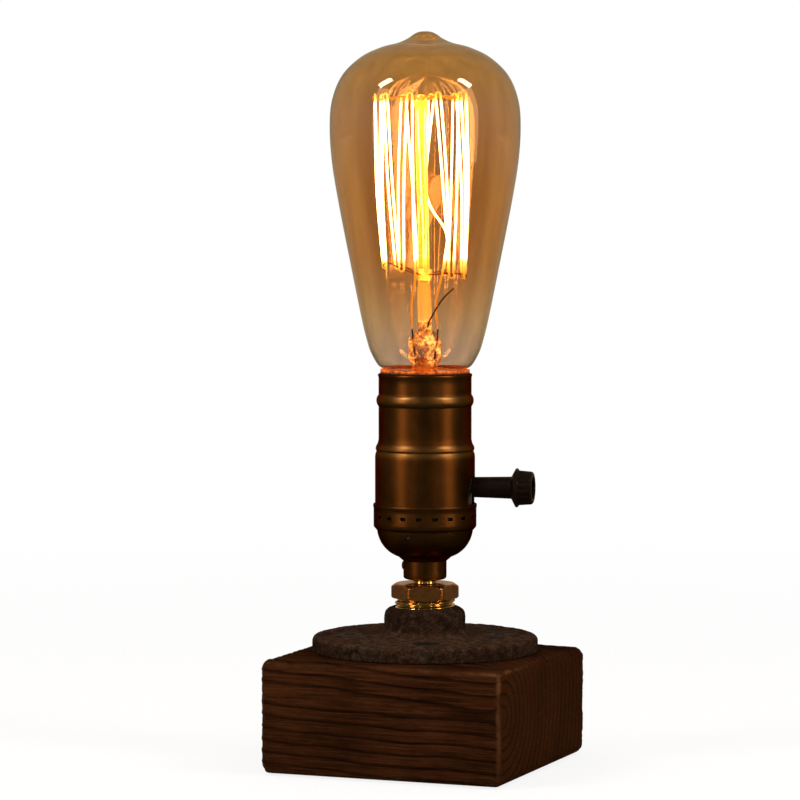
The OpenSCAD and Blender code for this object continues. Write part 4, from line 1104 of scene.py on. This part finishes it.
def support_wires():
    """Arms from the button and from the bead, each bent round the filament at its end."""
    parts = []
    eye = FILAMENT_TOP - BEND - 0.1
    for k in range(HOOKS):
        arm = [(1.9, 225.6), (7, 226.9), (TOP_RING - 1.6, eye - 0.9)]
        parts.append(support(hook_angle(k), arm, TOP_RING, 1, 0.24))
    for k in range(HOOKS - 1):
        angle = hook_angle(k + 0.5)
        z = low_z(angle)
        arm = [(2.4, GLASS_BEAD_Z), (8, (GLASS_BEAD_Z + z) / 2 + 1.0), (LOW_RING - 1.4, z + BEND + 0.9)]
        parts.append(support(angle, arm, LOW_RING, -1, 0.22))
    make_piece("support_wires_curled", parts, "bulb", "support_wires", "wire_metal", 60)


def anchor_and_leads():
    bend = smooth_curve([[1.3, -2.8, 150.8], [3.6, -3.2, 155], [6.4, -3.5, 159], [9.7, -4, 162.1]], 6)
    anchor = [wire(np.vstack([[[0.4, -1.6, 147.4]], bend]), 0.3)]
    make_piece("anchor_wire_bent", anchor, "bulb", "anchor_wire", "wire_metal", 60)
    leads = [wire(evenly([[side * 1.9, 0, 128], [side * 4.4, 0, 148]], 2), 0.3) for side in (-1, 1)]
    make_piece("lead_wires_drawn", leads, "bulb", "lead_wires", "wire_metal", 60)


def pressed_glass():
    """Glass from the flare to the press: an ellipse at each height, round in the tube, wide and flat in the press,
    and round again where the rod starts. Uneven bumps are those that the pincers leave."""
    rows = np.array([  # height, half width, half depth
        (133.6, 4.25, 4.25), (135.2, 4.3, 4.1), (136.4, 4.7, 3.3), (137.4, 5.3, 2.5), (138.4, 5.55, 2.2),
        (140.2, 5.5, 2.1), (142.0, 5.55, 2.25), (143.8, 5.5, 2.15), (145.0, 5.2, 2.2), (145.8, 4.5, 2.4),
        (146.6, 3.5, 2.7), (147.6, 2.8, 2.65), (149, 2.42, 2.42), (151, 2.3, 2.3)])
    table = smooth_curve(rows, 3)
    grid = round_grid(np.ones((len(table), 1)), table[:, :1], 64)
    grid[..., :2] *= table[:, None, 1:]
    dents = 0.07 * ripples(grid, 3.2, 31) * smoothstep(134, 138, grid[..., 2]) * smoothstep(151, 147, grid[..., 2])
    grid[..., :2] *= (1 + dents)[..., None]
    return grid + (leaning(grid) - grid) * smoothstep(145, 148, grid[..., 2])[..., None]


def glass_mount():
    """Flare, press and rod. The rod is drawn a little wavy, and ends in a round button."""
    flare = smooth_curve([(10.9, 126), (10.2, 126.7), (8, 128.6), (5.4, 131), (4.25, 133.6)], 6)
    skirt = turned(np.vstack([flare, inset(flare, 1.0)[::-1]]), 96)
    rod = profile((LOW_ROD_R, 150.6), (LOW_ROD_R, GLASS_BEAD_Z - 7), (2.2, GLASS_BEAD_Z - 5),
                  (ROD_R - 0.15, GLASS_BEAD_Z - 2.5), (ROD_R - 0.15, ROD_TOP - 3.6), (2.1, 223.2),
                  arc(0, 225, 2.5, -50, 90, 12))
    rod = turned(evenly(rod, 2.2), 40)
    rod[..., 0] += 0.12 * np.sin(rod[..., 2] / 9) * smoothstep(152, 160, rod[..., 2])
    parts = [ring_mesh(in_bulb(skirt)), rod_mesh(in_bulb(pressed_glass())), rod_mesh(in_bulb(leaning(rod)))]
    make_piece("glass_mount_drawn", parts, "bulb", "glass_mount", "clear_glass", 60)


def mount_bead():
    """Lumpy bead round the rod: a ball whose radius swells and sinks a little."""
    side = arc(0, 0, GLASS_BEAD_R - 0.1, -42, 42, 20)
    grid = turned(profile(side, (ROD_R + 0.02, side[-1][1]), (ROD_R + 0.02, side[0][1])), 64)
    lumps = 1 + 0.07 * np.minimum(ripples(grid, 2.6, 41), 0.3)
    grid *= np.where(off_axis(grid) > ROD_R + 0.1, lumps, 1)[..., None]
    bead = ring_mesh(in_bulb(leaning(grid + [0, 0, GLASS_BEAD_Z])))
    make_piece("mount_bead_lumpy", [bead], "bulb", "mount_bead", "clear_glass", 60)


def screw_cap():
    """Rolled screw cap of the bulb: the wall swings between root and crest once a pitch, and the swing climbs by one
    pitch a turn. It fades out at both ends."""
    columns = 160
    z = np.arange(CAP_LOW + 0.6, CAP_RIM - 0.3, 0.28)[:, None]
    turns = (z - THREAD_LOW) / THREAD_PITCH - around(columns) / (2 * math.pi)
    swing = 0.5 - 0.5 * np.cos(2 * math.pi * turns)
    held = smoothstep(THREAD_LOW - 0.6, THREAD_LOW + 1.2, z) * smoothstep(THREAD_TOP + 1.6, THREAD_TOP, z)
    rise = smoothstep(THREAD_TOP, THREAD_TOP + 2, z)
    r = ROOT_R + (CREST_R - ROOT_R) * np.maximum(swing * held, rise)

    def ring(radius, height):
        return np.full((1, columns), radius), np.array([[height]])

    wall = [ring(11.4, CAP_LOW), ring(12.0, CAP_LOW), (r, z), ring(CREST_R - 0.2, CAP_RIM),
            ring(CREST_R - CAP_WALL, CAP_RIM), ((r - CAP_WALL)[::-1], z[::-1]), ring(11.4, CAP_LOW + 0.4)]
    grid = round_grid(np.vstack([w[0] for w in wall]), np.vstack([w[1] for w in wall]) + FOOT, columns)
    make_piece("bulb_screw_cap_rolled", [ring_mesh(grid)], "bulb_cap", "bulb_screw_cap", "contact_brass", 50)


wood_block()
floor_flange()
brass_adapter()
socket_cap()
socket_shell()
insulating_sleeve()
switch_knob()
bulb_glass()
lit_filament()
support_wires()
anchor_and_leads()
glass_mount()
mount_bead()
screw_cap()

# ---------------------------------------------------------------- stage and light

ROOM_FRONT = (0.075, 0.100, 0.072)
ROOM_BACK = (0.43, 0.34, 0.22)
BACK = (-math.sin(CAMERA_AZIMUTH), math.cos(CAMERA_AZIMUTH), 0)
WORLD_LEVEL = (0.62, 0.62, 0.62)
WHITE = (1, 1, 1)
WARM = (1, 0.70, 0.42)
FACED_HEIGHT = 0.12


def seen_and_mirrored(nodes):
    """Two masks: rays that see the white background, which are the camera's and those that went straight through
    glass, and the other rays from gloss and glass, which see the room."""
    path = nodes.put("ShaderNodeLightPath").outputs
    through, straight = path["Is Transmission Ray"], nodes.maths("LESS_THAN", path["Glossy Depth"], 0.5)
    seen = nodes.maths("MAXIMUM", path["Is Camera Ray"], nodes.times(through, straight))
    gloss = nodes.maths("MAXIMUM", path["Is Glossy Ray"], through)
    return seen, nodes.times(gloss, nodes.maths("SUBTRACT", 1.0, seen))


def room(nodes, place, near, far):
    """The room as metal and gloss see it: dim in front of the lamp, and a lit warm wall behind it."""
    behind = nodes.mapped(nodes.vector("DOT_PRODUCT", place, BACK), near, far, smooth=True)
    return nodes.blend(behind, ROOM_FRONT, ROOM_BACK)


def make_floor():
    """Round pale floor. To the camera it is white but for the lamp's soft shadow, and further off it is quite white,
    so that no horizon shows. Gloss sees it as the room."""
    floor = plain_object("floor", *mesh_of(turned([(0, 0), (100, 0), (400, 0), (6000, 0)], 64)))
    f = Finish("pale_floor", Roughness=0.9, Specular_IOR_Level=0.0, Base_Color=(0.86, 0.86, 0.86, 1))
    far = f.mapped(f.vector("LENGTH", f.place()), 0.15, 0.9, 0.84, 1.0, smooth=True)
    seen, mirrored = seen_and_mirrored(f)
    colour = f.blend(mirrored, WHITE, room(f, f.place(), 0.2, 1.2))
    glow = f.put("ShaderNodeEmission", {"Color": colour, "Strength": 1.0})
    f.shade_with(f.maths("MAXIMUM", f.times(seen, far), mirrored), glow)
    floor.data.materials.append(f.material)


def make_world():
    """Even pale light all round. The camera and rays through glass see it white, and gloss sees the room."""
    world = bpy.data.worlds.new("studio")
    world.use_nodes = True
    nodes = Nodes(world.node_tree)
    seen, mirrored = seen_and_mirrored(nodes)
    level = nodes.blend(mirrored, WORLD_LEVEL, room(nodes, nodes.place("Generated"), 0.2, 0.8))
    nodes.tree.links.new(nodes.blend(seen, level, WHITE), nodes.tree.nodes["Background"].inputs["Color"])
    bpy.context.scene.world = world


def softbox(name, azimuth, elevation, distance, size, radiance, colour, lean):
    """Soft rectangular lamp that faces the socket, placed by its direction from there. Azimuth is from the camera's,
    and the lamp's top leans towards smaller azimuths. Size is width and height."""
    data = bpy.data.lights.new(name, "AREA")
    data.shape = "RECTANGLE"
    data.size, data.size_y = size
    data.energy = radiance * math.pi * data.size * data.size_y
    data.color = colour
    lamp = bpy.data.objects.new(name, data)
    a, e = CAMERA_AZIMUTH + math.radians(azimuth), math.radians(elevation)
    level = distance * math.cos(e)
    lamp.location = (level * math.sin(a), -level * math.cos(a), FACED_HEIGHT + distance * math.sin(e))
    turns = ((a, "Z"), (math.pi / 2 - e, "X"), (math.radians(lean), "Z"))
    around_z, up, about_itself = (Matrix.Rotation(angle, 3, axis) for angle, axis in turns)
    lamp.rotation_euler = (around_z @ up @ about_itself).to_euler()
    lamp.visible_camera = False
    bpy.context.scene.collection.objects.link(lamp)


LAMPS = [  # name, azimuth and elevation in degrees, distance and size in metres, radiance, colour, lean in degrees
    ("tall_box", 57, 17, 0.85, (0.25, 0.72), 4.2, WARM, 0),
    ("strip", 25, 12, 0.85, (0.02, 0.5), 7.0, WARM, 0),
    ("small_box", 64, 45.8, 1.49, (0.19, 0.38), 30, WHITE, 27),
]

make_floor()
make_world()
for side, sign in (("left", -1), ("right", 1)):
    for name, azimuth, elevation, distance, size, radiance, colour, lean in LAMPS:
        softbox("%s_%s" % (name, side), azimuth * sign, elevation, distance, size, radiance, colour, lean * sign)

bpy.context.scene.view_settings.view_transform = "Standard"
